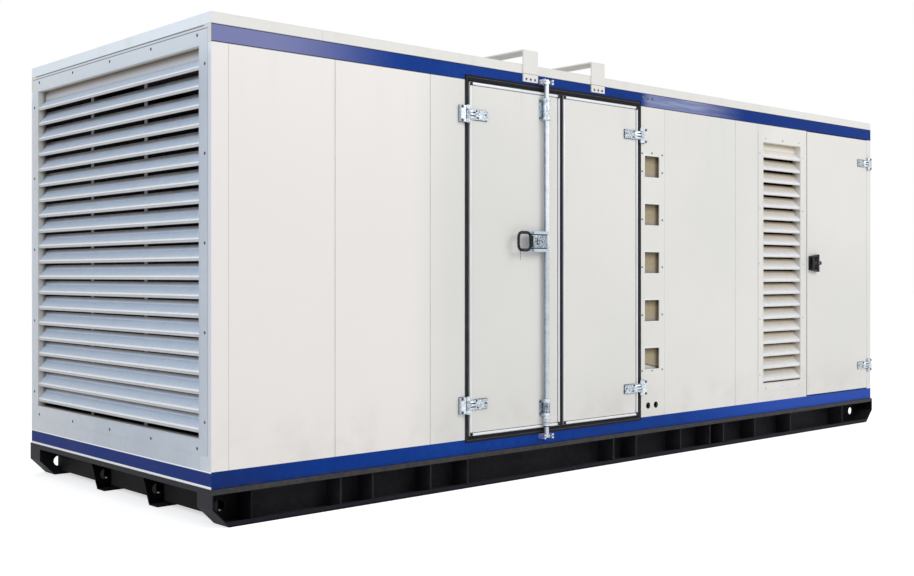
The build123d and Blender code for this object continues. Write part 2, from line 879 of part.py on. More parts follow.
# Roof
roof_joints = (
    -half_length,
    -half_length + roof_seam_from_left,
    half_length - roof_seam_from_right,
    half_length,
)
with BuildPart() as roof_panels:
    for start, end in zip(roof_joints, roof_joints[1:]):
        with BuildSketch(Plane.YZ.offset(start + seam / 2)) as section:
            with Locations((0, band_top + roof_thickness / 2)):
                Rectangle(width, roof_thickness)
            chamfer(section.vertices().group_by(Axis.Y)[-1], length=roof_chamfer)
        extrude(section.sketch, amount=end - start - seam)

with BuildPart() as roof_portals:
    for distance in portals_from_left:
        with BuildSketch(Plane.YZ.offset(-half_length + distance - portal_width / 2)) as section:
            with Locations((0, (portal_top + portal_foot) / 2)):
                Rectangle(width + 2 * portal_sheet, portal_top - portal_foot)
            with Locations((0, (portal_top + portal_foot) / 2 - portal_sheet)):
                Rectangle(width, portal_top - portal_foot, mode=Mode.SUBTRACT)
        extrude(section.sketch, amount=portal_width)

# Double doorway
with BuildPart() as door_frame:
    double_door_frame()

with BuildPart() as door_seals:
    double_door_seals()
    ring(
        (end_door_left, hinge_post_left),
        (wall_bottom, wall_top),
        (end_door_left + seal_reach, hinge_post_left - seal_reach),
        (wall_bottom + seal_reach, wall_top - seal_reach),
        end_leaf_back + seat_gap,
        -frame_back,
    )

with BuildPart() as hinge_brackets:
    double_door_brackets()
    for middle in hinge_heights:
        hinge_bracket(end_pivot, end_hinge_axis, -1, middle, end_bracket_start, end_bracket_end)

with BuildPart() as lock_keepers:
    keeper(lower_keeper_middle)
    keeper(upper_keeper_middle)

# Left leaf with its fittings
with BuildPart() as door_left:
    leaf(left_leaf_span)

with BuildPart() as door_left_trim:
    leaf_trim(left_leaf_span)

with BuildPart() as door_left_fittings:
    left_fittings()

# Right leaf with its fittings
with BuildPart() as door_right:
    leaf(right_leaf_span)

with BuildPart() as door_right_trim:
    leaf_trim(right_leaf_span)

with BuildPart() as door_right_fittings:
    right_fittings()

with BuildPart() as door_meeting_strip:
    meeting_strip()

# Lock rod and grip
with BuildPart() as lock_rod:
    lock_rod_shape()

with BuildPart() as lock_grip:
    lever_grip()

# End door with its lock
with BuildPart() as end_door:
    block(end_leaf_span, (end_leaf_front, end_leaf_back), end_leaf_heights)

with BuildPart() as end_door_fittings:
    for middle in hinge_heights:
        hinge_blade(end_pivot, end_hinge_axis, -1, middle)

lock_height = wall_bottom + lock_rise
lock_left = end_leaf_span[0] + lock_from_leaf_edge
lock_right = lock_left + lock_length
lock_face = end_leaf_front - lock_thickness
paddle_pivot = lock_left + paddle_pivot_inset
paddle_axis = lock_face - paddle_gap - paddle_barrel_radius
with BuildPart() as end_lock_body:
    with BuildSketch(Plane.XZ.offset(-end_leaf_front)) as body:
        Polygon(
            (lock_left, lock_height - lock_short_side / 2),
            (lock_right, lock_height - lock_tall_side / 2),
            (lock_right, lock_height + lock_tall_side / 2),
            (lock_left, lock_height + lock_short_side / 2),
            align=None,
        )
    extrude(body.sketch, amount=lock_thickness)
    ear_low = paddle_height / 2 + seat_gap
    for low, high in (
        (lock_height - lock_short_side / 2, lock_height - ear_low),
        (lock_height + ear_low, lock_height + lock_short_side / 2),
    ):
        block(
            (paddle_pivot - paddle_barrel_radius, paddle_pivot + paddle_barrel_radius),
            (paddle_axis - paddle_barrel_radius, lock_face),
            (low, high),
        )
    with BuildSketch(Plane.YZ.offset(lock_right)) as nub:
        with Locations((end_leaf_front - nub_radius, lock_height)):
            Circle(nub_radius)
    extrude(nub.sketch, amount=nub_length)

with BuildPart() as end_lock_paddle:
    half = paddle_height / 2
    upright(paddle_pivot, paddle_axis, paddle_barrel_radius, (lock_height - half, lock_height + half))
    block(
        (paddle_pivot, paddle_pivot + paddle_length),
        (paddle_axis - paddle_thickness / 2, paddle_axis + paddle_thickness / 2),
        (lock_height - half, lock_height + half),
    )

# Far side: a mirror of the double door, closed and fixed, between plain panels
with BuildPart() as rear_panels:
    cassette((post_seam, panel_seams[0]), 1)
    cassette((panel_seams[0], panel_seams[1]), 1)
    cassette((panel_seams[1], door_frame_left), 1)
    cassette((door_frame_right, port_plate_right), 1)
    cassette((port_plate_right, plain_panel_seam), 1)
    cassette((plain_panel_seam, end_door_left), 1)
    cassette((end_door_left, hinge_post_left), 1)

with BuildPart() as rear_door_frame:
    double_door_frame()
    mirror(about=Plane.XZ, mode=Mode.REPLACE)

with BuildPart() as rear_door_seals:
    double_door_seals()
    meeting_strip()
    mirror(about=Plane.XZ, mode=Mode.REPLACE)

with BuildPart() as rear_door_leaves:
    leaf(left_leaf_span)
    leaf(right_leaf_span)
    mirror(about=Plane.XZ, mode=Mode.REPLACE)

with BuildPart() as rear_door_trims:
    leaf_trim(left_leaf_span)
    leaf_trim(right_leaf_span)
    mirror(about=Plane.XZ, mode=Mode.REPLACE)

with BuildPart() as rear_door_fittings:
    left_fittings()
    right_fittings()
    double_door_brackets()
    keeper(lower_keeper_middle)
    keeper(upper_keeper_middle)
    lock_rod_shape()
    mirror(about=Plane.XZ, mode=Mode.REPLACE)

with BuildPart() as rear_lock_grip:
    lever_grip()
    mirror(about=Plane.XZ, mode=Mode.REPLACE)

named_parts = {
    "skid_rail_front": skid_rail_front,
    "skid_rail_rear": skid_rail_rear,
    "skid_stiffeners": skid_stiffeners,
    "skid_inner_rails": skid_inner_rails,
    "skid_cross_members": skid_cross_members,
    "floor_plate": floor_plate,
    "lower_bands": lower_bands,
    "upper_bands": upper_bands,
    "corner_posts": corner_posts,
    "panel_left_outer": panel_left_outer,
    "panel_left_middle": panel_left_middle,
    "panel_left_narrow": panel_left_narrow,
    "panel_right_wide": panel_right_wide,
    "panel_right_narrow": panel_right_narrow,
    "port_plate": port_plate,
    "port_liner": port_liner,
    "side_louvre_surround": side_louvre_surround,
    "side_louvre_frame": side_louvre_frame,
    "side_louvre_blades": side_louvre_blades,
    "end_louvre_surround": end_louvre_surround,
    "end_louvre_frame": end_louvre_frame,
    "end_louvre_blades": end_louvre_blades,
    "end_louvre_mullions": end_louvre_mullions,
    "right_end_panels": right_end_panels,
    "roof_panels": roof_panels,
    "roof_portals": roof_portals,
    "door_frame": door_frame,
    "door_seals": door_seals,
    "hinge_brackets": hinge_brackets,
    "lock_keepers": lock_keepers,
    "door_left": door_left,
    "door_left_trim": door_left_trim,
    "door_left_fittings": door_left_fittings,
    "door_right": door_right,
    "door_right_trim": door_right_trim,
    "door_right_fittings": door_right_fittings,
    "door_meeting_strip": door_meeting_strip,
    "lock_rod": lock_rod,
    "lock_grip": lock_grip,
    "end_door": end_door,
    "end_door_fittings": end_door_fittings,
    "end_lock_body": end_lock_body,
    "end_lock_paddle": end_lock_paddle,
    "rear_panels": rear_panels,
    "rear_door_frame": rear_door_frame,
    "rear_door_seals": rear_door_seals,
    "rear_door_leaves": rear_door_leaves,
    "rear_door_trims": rear_door_trims,
    "rear_door_fittings": rear_door_fittings,
    "rear_lock_grip": rear_lock_grip,
}
for name, piece in named_parts.items():
    piece.part.label = name
    export_step(piece.part, f"parts/{name}.step")
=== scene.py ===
import json
import math

import bpy
import numpy as np
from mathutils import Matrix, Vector


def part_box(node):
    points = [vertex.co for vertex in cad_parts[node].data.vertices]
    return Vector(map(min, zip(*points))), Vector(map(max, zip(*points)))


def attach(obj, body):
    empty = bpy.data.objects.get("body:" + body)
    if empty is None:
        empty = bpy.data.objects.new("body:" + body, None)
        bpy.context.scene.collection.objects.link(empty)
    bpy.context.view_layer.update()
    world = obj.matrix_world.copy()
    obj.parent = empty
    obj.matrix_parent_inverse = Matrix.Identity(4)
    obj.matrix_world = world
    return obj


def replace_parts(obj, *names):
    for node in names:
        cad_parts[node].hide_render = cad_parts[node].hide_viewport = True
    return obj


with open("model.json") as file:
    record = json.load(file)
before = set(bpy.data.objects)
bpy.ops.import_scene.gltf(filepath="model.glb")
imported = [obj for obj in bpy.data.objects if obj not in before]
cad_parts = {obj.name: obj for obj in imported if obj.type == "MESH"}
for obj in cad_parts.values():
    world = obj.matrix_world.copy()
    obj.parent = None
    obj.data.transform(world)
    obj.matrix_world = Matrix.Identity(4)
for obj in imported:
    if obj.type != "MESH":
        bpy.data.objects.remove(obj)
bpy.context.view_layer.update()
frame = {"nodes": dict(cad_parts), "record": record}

# Camera of the photograph, in metres, degrees and millimetres
CAMERA_PLACE = (-5.83064, -5.90873, 1.19203)
CAMERA_YAW = 42.4266
CAMERA_LENS = 46.204
CAMERA_SHIFT = (-0.01456, -0.01457)

# Seeds of the patterns in the finishes
PANEL_SEED = 3.7
BLUE_SEED = 11.3
SKID_SEED = 23.9
ZINC_SEED = 31.1

# Planes that the finishes and the small pieces share, in metres
FACE = 1.05
LEAF_FACE = 1.056
TRIM_FACE = 1.060
END_LEAF_FACE = 1.052
END_FACE = 3.029
SHEET = 0.003
BLADE_DEPTH = 0.044

# How far a small piece is let into the face that carries it, in metres
SUNK = 0.0005

# Bends sharper than this are drawn as crisp folds, in degrees
FOLD = 35.0

# Ways in which turned pieces stand: out of the doors' side, out of the louvred end, upward
OUT, LEFT, UP = (0, -1, 0), (-1, 0, 0), (0, 0, 1)

# Middle line of the lock rod, face of its lever plates
ROD_X, ROD_Y = -0.805, -1.080
LEVER_FACE = 1.100

# Hinges: heights, pins along X, how far a pin and a blade stand out of the leaf, half a pin's length
HINGE_HEIGHTS = (0.462, 2.090)
LEFT_PIVOT, RIGHT_PIVOT, END_PIVOT = -1.425, 0.087, 2.974
KNUCKLE, HINGE_BLADE, HALF_PIN = 0.012, 0.006, 0.046

# Louvres: lower edge of the highest blade, the step to the next, and how many there are
END_BLADES = (2.162, 0.0905, 20)
SIDE_BLADES = (2.046, 0.0907, 19)

# Ports: top of the highest, the step to the next, how many there are, height of one, span of a rim along X
PORT_TOP, PORT_PITCH, PORTS = 1.9655, 0.313, 5
PORT_TALL, RIM_SPAN = 0.143, (0.1385, 0.3005)


def linear(red, green, blue):
    """Linear colour of an 8-bit screen colour."""
    parts = np.array([red, green, blue]) / 255.0
    low = parts / 12.92
    high = ((parts + 0.055) / 1.055) ** 2.4
    return (*np.where(parts <= 0.04045, low, high).tolist(), 1.0)


class Wire:
    """An output socket in a material's tree; arithmetic on it adds Math nodes."""

    def __init__(self, finish, socket):
        self.finish = finish
        self.socket = socket

    def __add__(self, other):
        return self.finish.maths("ADD", self, other)

    __radd__ = __add__

    def __sub__(self, other):
        return self.finish.maths("SUBTRACT", self, other)

    def __rsub__(self, other):
        return self.finish.maths("SUBTRACT", other, self)

    def __mul__(self, other):
        return self.finish.maths("MULTIPLY", self, other)

    __rmul__ = __mul__

    def __abs__(self):
        return self.finish.maths("ABSOLUTE", self)


class Finish:
    """Node tree of one material, with short calls for the nodes that the finishes share."""

    def __init__(self, name, seed=0.0, owner=None):
        self.seed = seed
        self.holder = owner or bpy.data.materials.new(name)
        self.holder.use_nodes = True
        self.tree = self.holder.node_tree
        self.tree.nodes.clear()

    def node(self, kind, settings, inputs, out=0):
        """Adds a node of any type: settings first, then values or links; returns one output."""
        made = self.tree.nodes.new(kind)
        for key, value in settings.items():
            if key == "stops":
                ramp = made.color_ramp
                while len(ramp.elements) < len(value):
                    ramp.elements.new(1.0)
                for stop, (place, colour) in zip(ramp.elements, value):
                    stop.position = place
                    stop.color = colour
            else:
                setattr(made, key, value)
        for key, value in inputs.items():
            if isinstance(value, Wire):
                self.tree.links.new(value.socket, made.inputs[key])
            else:
                made.inputs[key].default_value = value
        return Wire(self, made.outputs[out]) if made.outputs else None

    def maths(self, operation, *values):
        return self.node("ShaderNodeMath", {"operation": operation}, dict(enumerate(values)))

    def place(self):
        return self.node("ShaderNodeTexCoord", {}, {}, "Object")

    def facing(self):
        """Object-space normal, as three wires."""
        return self.split(self.node("ShaderNodeTexCoord", {}, {}, "Normal"))

    def split(self, vector):
        made = self.tree.nodes.new("ShaderNodeSeparateXYZ")
        self.tree.links.new(vector.socket, made.inputs[0])
        return [Wire(self, made.outputs[axis]) for axis in range(3)]

    def stretched(self, scale, seed=None):
        """Object coordinates scaled by axis and moved by the finish's seed, or by another one."""
        seed = self.seed if seed is None else seed
        inputs = {"Vector": self.place(), "Location": (seed, seed, seed), "Scale": scale}
        return self.node("ShaderNodeMapping", {}, inputs)

    def noise(self, scale, detail, rough, stretch=(1.0, 1.0, 1.0), seed=None):
        """Clouds in the object's own coordinates."""
        inputs = {"Vector": self.stretched(stretch, seed), "Scale": scale, "Detail": detail, "Roughness": rough}
        return self.node("ShaderNodeTexNoise", {}, inputs)

    def ramp(self, value, low, high):
        """Smooth step of a value from 0 at low to 1 at high."""
        settings = {"interpolation_type": "SMOOTHSTEP"}
        inputs = {"Value": value, "From Min": low, "From Max": high}
        return self.node("ShaderNodeMapRange", settings, inputs)

    def fall(self, value, low, high):
        """Smooth step of a value from 1 at low to 0 at high."""
        return 1.0 - self.ramp(value, low, high)

    def band(self, value, low, high, soft):
        """One between low and high, nought outside, with soft edges."""
        return self.ramp(value, low - soft, low) * self.fall(value, high, high + soft)

    def tones(self, value, stops):
        """Colours along a value, from pairs of a place between 0 and 1 and an 8-bit colour."""
        listed = [(place, linear(*colour)) for place, colour in stops]
        return self.node("ShaderNodeValToRGB", {"stops": listed}, {0: value})

    def mix(self, factor, first, second):
        """Colour between two, each a wire or an 8-bit colour."""
        first, second = (tone if isinstance(tone, Wire) else linear(*tone) for tone in (first, second))
        settings = {"data_type": "RGBA", "clamp_factor": True}
        return self.node("ShaderNodeMix", settings, {0: factor, 6: first, 7: second}, 2)

    def blend(self, value, low, high, first, second):
        """Colour from one 8-bit colour to another while the value goes from low to high."""
        return self.mix(self.ramp(value, low, high), first, second)

    def layers(self, colour, *coats):
        """Coats laid over a colour in turn, each from its cover and its 8-bit colour or wire."""
        for cover, tone in coats:
            colour = self.mix(cover, colour, tone)
        return colour

    def inner_faces(self, wall, end):
        """Masks of faces that look inward: of long walls by a span of |y|, of end walls by a span of |x|."""
        x, y, _ = self.split(self.place())
        across, along, _ = self.facing()
        return (
            self.fall(along * y, -0.95, -0.7) * self.fall(abs(y), *wall),
            self.fall(across * x, -2.9, -2.6) * self.fall(abs(x), *end),
        )

    def bump(self, height, depth, strength, under=None):
        inputs = {"Height": height, "Distance": depth, "Strength": strength}
        if under is not None:
            inputs["Normal"] = under
        return self.node("ShaderNodeBump", {}, inputs)

    def surface(self, **inputs):
        """Principled surface; an underscore stands for a space in a socket's name."""
        named = {key.replace("_", " "): value for key, value in inputs.items()}
        shader = self.node("ShaderNodeBsdfPrincipled", {}, named)
        self.node("ShaderNodeOutputMaterial", {}, {"Surface": shader})
        return self.holder


def panel_paint():
    """Cream powder coat: faint clouds, rain marks, dust above the skid; painted light on the left panels, a painted
    bluish tint of shade on the louvred end's faces, and inner faces painted dark as painted shade.
    """
    f = Finish("panel_paint", PANEL_SEED)
    x, y, z = f.split(f.place())
    across, _, up = f.facing()
    clouds = f.noise(0.9, 3.0, 0.5)
    streaks = f.noise(7.0, 5.0, 0.6, (1.0, 1.0, 0.06))
    low_dirt = f.fall(z, 0.26, 0.62) * f.ramp(f.noise(3.0, 5.0, 0.6), 0.42, 0.75)
    rain = f.ramp(z, 1.7, 2.42) * f.ramp(streaks, 0.52, 0.78)
    fresh = f.fall(x, -1.85, -1.5) * f.fall(z, 2.3, 2.36)
    left_end = f.fall(across, -0.9, -0.6) * f.fall(x, -3.0, -2.9)
    joint = f.band(z, 2.3675, 2.371, 0.001) + f.band(z, 2.2825, 2.2855, 0.001)
    colour = f.layers(
        f.blend(clouds, 0.3, 0.7, (234, 232, 228), (227, 226, 222)),
        # Painted light: the left panels are lighter below the roof line, where more light falls.
        (fresh * 0.8, (247, 242, 238)),
        # Painted shade: a bluish tint on the faces of the louvred end, lighter toward the top.
        (left_end * 0.9, f.blend(z, 2.2, 2.3, (208, 214, 223), (236, 244, 252))),
        (rain * 0.14, (176, 168, 152)),
        (low_dirt * 0.2, (170, 156, 132)),
        (joint * 0.55, (92, 88, 82)),
    )
    wall_back, end_back = f.inner_faces((1.008, 1.012), (2.99, 2.995))
    under_roof = f.band(z, 2.36, 2.40, 0.01) * f.fall(abs(y), 0.984, 0.986)
    roof_back = f.fall(up, -0.95, -0.8) * under_roof
    # Inner faces and the roof's underside are painted dark and mottled: painted shade of the closed interior.
    lining = f.maths("MAXIMUM", wall_back, f.maths("MAXIMUM", end_back, roof_back))
    inner_shade = f.blend(f.noise(60.0, 4.0, 0.6), 0.3, 0.7, (44, 44, 47), (66, 66, 70))
    sheet = f.bump(f.noise(1.6, 1.0, 0.4), 0.004, 0.5)
    return f.surface(
        Base_Color=f.mix(lining, colour, inner_shade),
        Roughness=0.36 + 0.16 * clouds + 0.12 * low_dirt + 0.4 * lining,
        Coat_Weight=0.12, Coat_Roughness=0.25,
        Normal=f.bump(f.noise(420.0, 1.0, 0.5), 0.00025, 0.35, sheet),
    )


def blue_paint():
    """Satin blue, a little faded in patches, with a dusty foot and pale sealant on the louvred end."""
    f = Finish("blue_paint", BLUE_SEED)
    x, y, z = f.split(f.place())
    across = f.facing()[0]
    patches = f.noise(2.4, 4.0, 0.6)
    grain = f.noise(38.0, 5.0, 0.65)
    wiped = f.noise(5.0, 4.0, 0.6, (0.5, 1.0, 8.0))
    left_end = f.fall(across, -0.9, -0.6)
    right_end = f.ramp(across, 0.6, 0.9)
    low = f.fall(z, 0.28, 0.5)
    high = f.ramp(z, 1.0, 1.2)
    dust = f.fall(z, 0.188, 0.204) * f.ramp(f.noise(14.0, 4.0, 0.6), 0.38, 0.62)
    middle = f.ramp(x, 0.10, 0.20) * f.fall(x, 0.6, 1.3) * f.fall(y, 0.0, 0.1) * high
    edge = f.band(z, 2.2835, 2.2880, 0.001) + f.band(z, 2.3655, 2.3695, 0.001)
    bead = f.band(z, 0.2620, 0.2690, 0.0008) + f.band(z, 0.185, 0.1975, 0.0012)
    wall_back, end_back = f.inner_faces((1.040, 1.045), (3.015, 3.020))
    colour = f.layers(
        f.blend(patches, 0.3, 0.72, (10, 56, 140), (18, 66, 156)),
        (f.ramp(grain, 0.35, 0.7) * 0.3, (6, 40, 112)),
        (f.ramp(x, 0.4, 1.9) * low * 0.6, (52, 90, 194)),
        (f.ramp(x, -1.5, 0.0) * high * 0.45, (6, 40, 110)),
        (f.fall(x, -2.75, -1.85) * high * 0.95, (133, 138, 184)),
        (middle * (0.6 + 0.4 * f.ramp(wiped, 0.35, 0.65)), (150, 158, 194)),
        (f.fall(x, -3.0, -2.4) * low * 0.5, (28, 40, 84)),
        (left_end * 0.6, (14, 42, 118)),
        (dust * 0.4 * (1.0 - left_end), (70, 70, 82)),
        (edge * 0.8, (9, 13, 38)),
        (left_end * bead * low, (255, 255, 255)),
        (f.maths("MAXIMUM", left_end, right_end) * high, (226, 224, 218)),
        # Inner faces painted dark: painted shade of the closed interior.
        (f.maths("MAXIMUM", wall_back, end_back), (34, 34, 37)),
    )
    return f.surface(
        Base_Color=colour,
        Roughness=0.4 + 0.2 * patches + 0.2 * dust,
        Specular_IOR_Level=0.07,
        Normal=f.bump(f.noise(300.0, 1.0, 0.5), 0.0003, 0.35),
    )


def skid_paint():
    """Black paint: painted shade inside the skid near the ends and under the floor, greyer lips with dust, painted
    shade on the foot with a painted shadow line along its bottom, chips on the outer faces.
    """
    f = Finish("skid_paint", SKID_SEED)
    x, y, z = f.split(f.place())
    up = f.facing()[2]
    patches = f.noise(3.0, 6.0, 0.65)
    fine = f.noise(26.0, 6.0, 0.7)
    chips = f.ramp(f.noise(60.0, 5.0, 0.7), 0.68, 0.74)
    dust = f.ramp(up, 0.3, 0.9) * f.ramp(patches, 0.25, 0.6)
    lip = f.ramp(abs(y), 1.0585, 1.0605)
    top_lip = lip * f.ramp(z, 0.158, 0.162)
    end_plate = f.ramp(abs(x), 3.028, 3.030)
    inside = (1.0 - lip) * (1.0 - end_plate)
    foot = lip * f.fall(z, 0.028, 0.032)
    under_floor_shade = f.fall(abs(y), 0.90, 0.92) * (1.0 - end_plate) * f.fall(z, 0.166, 0.172)
    colour = f.layers(
        f.blend(patches, 0.35, 0.75, (37, 37, 42), (50, 50, 56)),
        (f.ramp(fine, 0.4, 0.75) * 0.35, (58, 56, 55)),
        (top_lip * (0.55 + 0.35 * f.ramp(fine, 0.35, 0.6)), (74, 72, 72)),
        # Painted shade on the lowest part of the outer lip, with a near-black painted shadow line along its bottom
        # edge.
        (foot * 0.7, (30, 33, 42)),
        (foot * f.fall(z, 0.003, 0.010), (8, 8, 12)),
        (end_plate * 0.45, (62, 62, 65)),
        (chips * 0.3 * (1.0 - inside), (96, 92, 86)),
        # Painted shade: inner faces near the ends, and everything under the floor, made near-black.
        (inside * 0.75 * f.ramp(abs(x), 2.7, 2.8), (8, 8, 11)),
        (under_floor_shade * 0.85, (4, 4, 6)),
        (dust * 0.45, (66, 62, 58)),
    )
    return f.surface(
        Base_Color=colour,
        Roughness=0.42 + 0.2 * patches + 0.25 * dust,
        Specular_IOR_Level=0.05,
        Normal=f.bump(fine, 0.0008, 0.5),
    )


def louvre_paint(name="louvre_paint", back_tone=(40, 40, 42)):
    """Light cool grey of the louvred end: clouds, dark joint under the roof; painted warm shading just inside the
    reveals, then the back tone deeper in, by default dark as painted shade.
    """
    f = Finish(name, PANEL_SEED)
    x, y, z = f.split(f.place())
    patches = f.noise(2.0, 4.0, 0.6)
    fine = f.noise(24.0, 5.0, 0.65)
    depth = x + END_FACE
    joint = f.band(z, 2.3485, 2.3530, 0.001) + f.band(z, 2.364, 2.3695, 0.001)
    deep = f.ramp(depth, 0.012, 0.05)
    colour = f.layers(
        f.blend(patches, 0.3, 0.7, (196, 203, 213), (187, 195, 206)),
        (f.ramp(y, -0.2, 0.9) * 0.8, (217, 219, 223)),
        (f.ramp(fine, 0.4, 0.7) * 0.2, (176, 182, 192)),
        (f.ramp(z, 2.1, 2.34) * 0.75, (222, 228, 236)),
        (joint * 0.85, (60, 54, 48)),
        # Painted warm shading just inside the reveals, then the back tone deeper in, as painted shade.
        (f.ramp(depth, 0.003, 0.006) * 0.8, (214, 204, 188)),
        (deep, back_tone),
    )
    return f.surface(
        Base_Color=colour,
        Roughness=0.42 + 0.15 * patches + 0.2 * deep,
        Coat_Weight=0.08, Coat_Roughness=0.3,
        Normal=f.bump(f.noise(350.0, 1.0, 0.5), 0.00025, 0.35),
    )


def blade_paint(name, first, pitch, stops, closer, upper_shade_shift, seed):
    """Paint of louvre blades by the height within one pitch: lip, a painted highlight on the bend, slope, painted
    shade and soot at the top, closing plate with painted shade toward its top.
    """
    f = Finish(name, seed)
    z = f.split(f.place())[2]
    rise = f.maths("FRACT", (z - first) * (1.0 / pitch))
    # Painted shade: higher blades reach the dark top of each pitch sooner.
    rise = rise + upper_shade_shift * f.ramp(z, 0.9, 1.9) * f.ramp(rise, 0.25, 0.55)
    uneven = f.noise(9.0, 5.0, 0.6, (1.0, 1.0, 3.0))
    streaks = f.noise(30.0, 4.0, 0.6)
    colour = f.layers(
        f.tones(rise, stops),
        (f.ramp(streaks, 0.45, 0.75) * 0.10, (120, 112, 100)),
        (f.ramp(uneven, 0.3, 0.7) * 0.08, (255, 255, 255)),
        # Closing plate above the highest blade, with painted shade darkening toward its top under the flange.
        (f.ramp(z, first + 0.058, first + 0.068), f.blend(z, first + 0.070, first + 0.115, *closer)),
    )
    return f.surface(
        Base_Color=colour,
        Roughness=0.36 + 0.2 * uneven,
        Coat_Weight=0.1, Coat_Roughness=0.3,
        Normal=f.bump(f.noise(350.0, 1.0, 0.5), 0.0002, 0.3),
    )


def seal_rubber(name="seal_rubber", fresh=(17, 18, 24), chalky=(34, 36, 44)):
    """Black sponge rubber with a chalky bloom."""
    f = Finish(name, SKID_SEED)
    bloom = f.ramp(f.noise(18.0, 5.0, 0.65), 0.35, 0.75)
    return f.surface(
        Base_Color=f.mix(bloom, fresh, chalky),
        Roughness=0.62 + 0.2 * bloom,
        Specular_IOR_Level=0.15,
        Normal=f.bump(f.noise(700.0, 2.0, 0.6), 0.0003, 0.6),
    )


def zinc_plate(name="zinc_plate", dirt_share=0.55, deep=(172, 184, 198), pale=(240, 244, 248)):
    """Zinc plate: flakes of lighter and bluer metal, dull smears, dark dirt in the low spots."""
    f = Finish(name, ZINC_SEED)
    flakes = f.node(
        "ShaderNodeTexVoronoi",
        {"feature": "F1"},
        {"Vector": f.stretched((1.0, 1.0, 1.0)), "Scale": 190.0},
        "Color",
    )
    flake = f.split(flakes)[0]
    dull = f.ramp(f.noise(22.0, 5.0, 0.65), 0.42, 0.7)
    dirt = f.ramp(f.noise(75.0, 4.0, 0.65), 0.72 - 0.3 * dirt_share, 0.76)
    colour = f.layers(
        f.mix(flake, deep, pale),
        (dull * 0.35, (140, 150, 162)),
        (dirt * dirt_share, (60, 66, 76)),
    )
    return f.surface(
        Base_Color=colour,
        Metallic=0.75 - 0.3 * dirt,
        Roughness=0.24 + 0.1 * flake + 0.25 * dull,
        Normal=f.bump(f.noise(120.0, 3.0, 0.6), 0.0005, 0.6),
    )


def rod_zinc():
    """Zinc of the lock rod: blue-grey with fine lines round the tube, and a painted highlight along its outer side."""
    f = Finish("rod_zinc", ZINC_SEED)
    x, _, z = f.split(f.place())
    along = f.facing()[1]
    lines = f.noise(40.0, 4.0, 0.6, (0.2, 0.2, 1.0))
    dull = f.ramp(f.noise(30.0, 5.0, 0.65), 0.4, 0.75)
    lever = f.ramp(abs(x - ROD_X), 0.019, 0.022)
    # Painted highlight on the sides facing out of the door and into it, stronger higher up, kept off the lever plates.
    worn = f.ramp(abs(along), 0.35, 0.7) * (1.0 - lever) * (0.5 + 0.5 * f.ramp(z, 1.25, 1.5))
    colour = f.layers(
        f.blend(lines, 0.35, 0.7, (150, 164, 178), (128, 142, 156)),
        (dull * 0.35, (104, 112, 122)),
        (lever * 0.8, (198, 212, 226)),
        (worn * (0.95 - 0.3 * dull), (244, 247, 249)),
    )
    return f.surface(
        Base_Color=colour,
        Metallic=0.4,
        Roughness=0.3 + 0.15 * dull,
        Normal=f.bump(lines, 0.0002, 0.3),
    )


def trim_metal():
    """Pale extruded edge trim with fine lines along it."""
    f = Finish("trim_metal", ZINC_SEED)
    lines = f.noise(60.0, 2.0, 0.5, (0.05, 1.0, 0.05))
    return f.surface(
        Base_Color=f.blend(lines, 0.35, 0.7, (238, 240, 243), (228, 231, 236)),
        Metallic=0.1,
        Roughness=0.3 + 0.1 * lines,
        Coat_Weight=0.2,
    )


def black_plastic():
    """Moulded black plastic with a fine grain, greyer where hands rub it and dusty in spots."""
    f = Finish("black_plastic", BLUE_SEED)
    rubbed = f.ramp(f.noise(22.0, 4.0, 0.6), 0.45, 0.8)
    dusty = f.ramp(f.noise(70.0, 4.0, 0.6, seed=PANEL_SEED), 0.48, 0.68)
    colour = f.mix(rubbed, (10, 10, 13), (36, 35, 36))
    return f.surface(
        Base_Color=f.mix(dusty * 0.6, colour, (64, 60, 56)),
        Roughness=0.36 + 0.15 * rubbed,
        Specular_IOR_Level=0.2,
        Normal=f.bump(f.noise(900.0, 1.0, 0.5), 0.0002, 0.6),
    )


def port_lining():
    """Tan lining of the ports: greyer low down, mottled, with painted shade at the top; a pale slip in the lowest one;
    walls facing -X painted light, and near-black below the ports as painted shade behind the cable holes.
    """
    f = Finish("port_lining", PANEL_SEED)
    x, _, z = f.split(f.place())
    across = f.facing()[0]
    foot = PORT_TOP - (PORTS - 1) * PORT_PITCH - PORT_TALL
    rise = f.maths("FRACT", (z - foot) * (1.0 / PORT_PITCH)) * (PORT_PITCH / PORT_TALL)
    patches = f.noise(38.0, 5.0, 0.65)
    blots = f.ramp(f.noise(90.0, 3.0, 0.6), 0.5, 0.66)
    fold = z - 0.612 + 0.2 * (x - 0.147)
    lowest = f.band(z, 0.48, 0.72, 0.01)
    colour = f.layers(
        f.blend(patches, 0.3, 0.7, (172, 158, 126), (164, 150, 120)),
        (f.fall(rise, 0.2, 0.5) * 0.8, (174, 164, 148)),
        # Painted shade at the top of each port.
        (f.ramp(rise, 0.62, 0.9) * 0.75, (118, 106, 84)),
        (lowest * f.fall(fold, -0.002, 0.001), (216, 214, 206)),
        (lowest * f.band(fold, 0.0, 0.008, 0.003) * 0.7, (92, 82, 66)),
        # Painted light: the walls facing -X lightened against their shade.
        (f.fall(across, -0.9, -0.6), (250, 236, 204)),
        # Painted shade: near-black below the ports, seen through the cable holes.
        (f.fall(z, 0.40, 0.42), (6, 6, 7)),
        (blots * 0.3, (104, 92, 70)),
    )
    return f.surface(
        Base_Color=colour,
        Roughness=0.6 + 0.2 * patches,
        Normal=f.bump(patches, 0.0006, 0.5),
    )


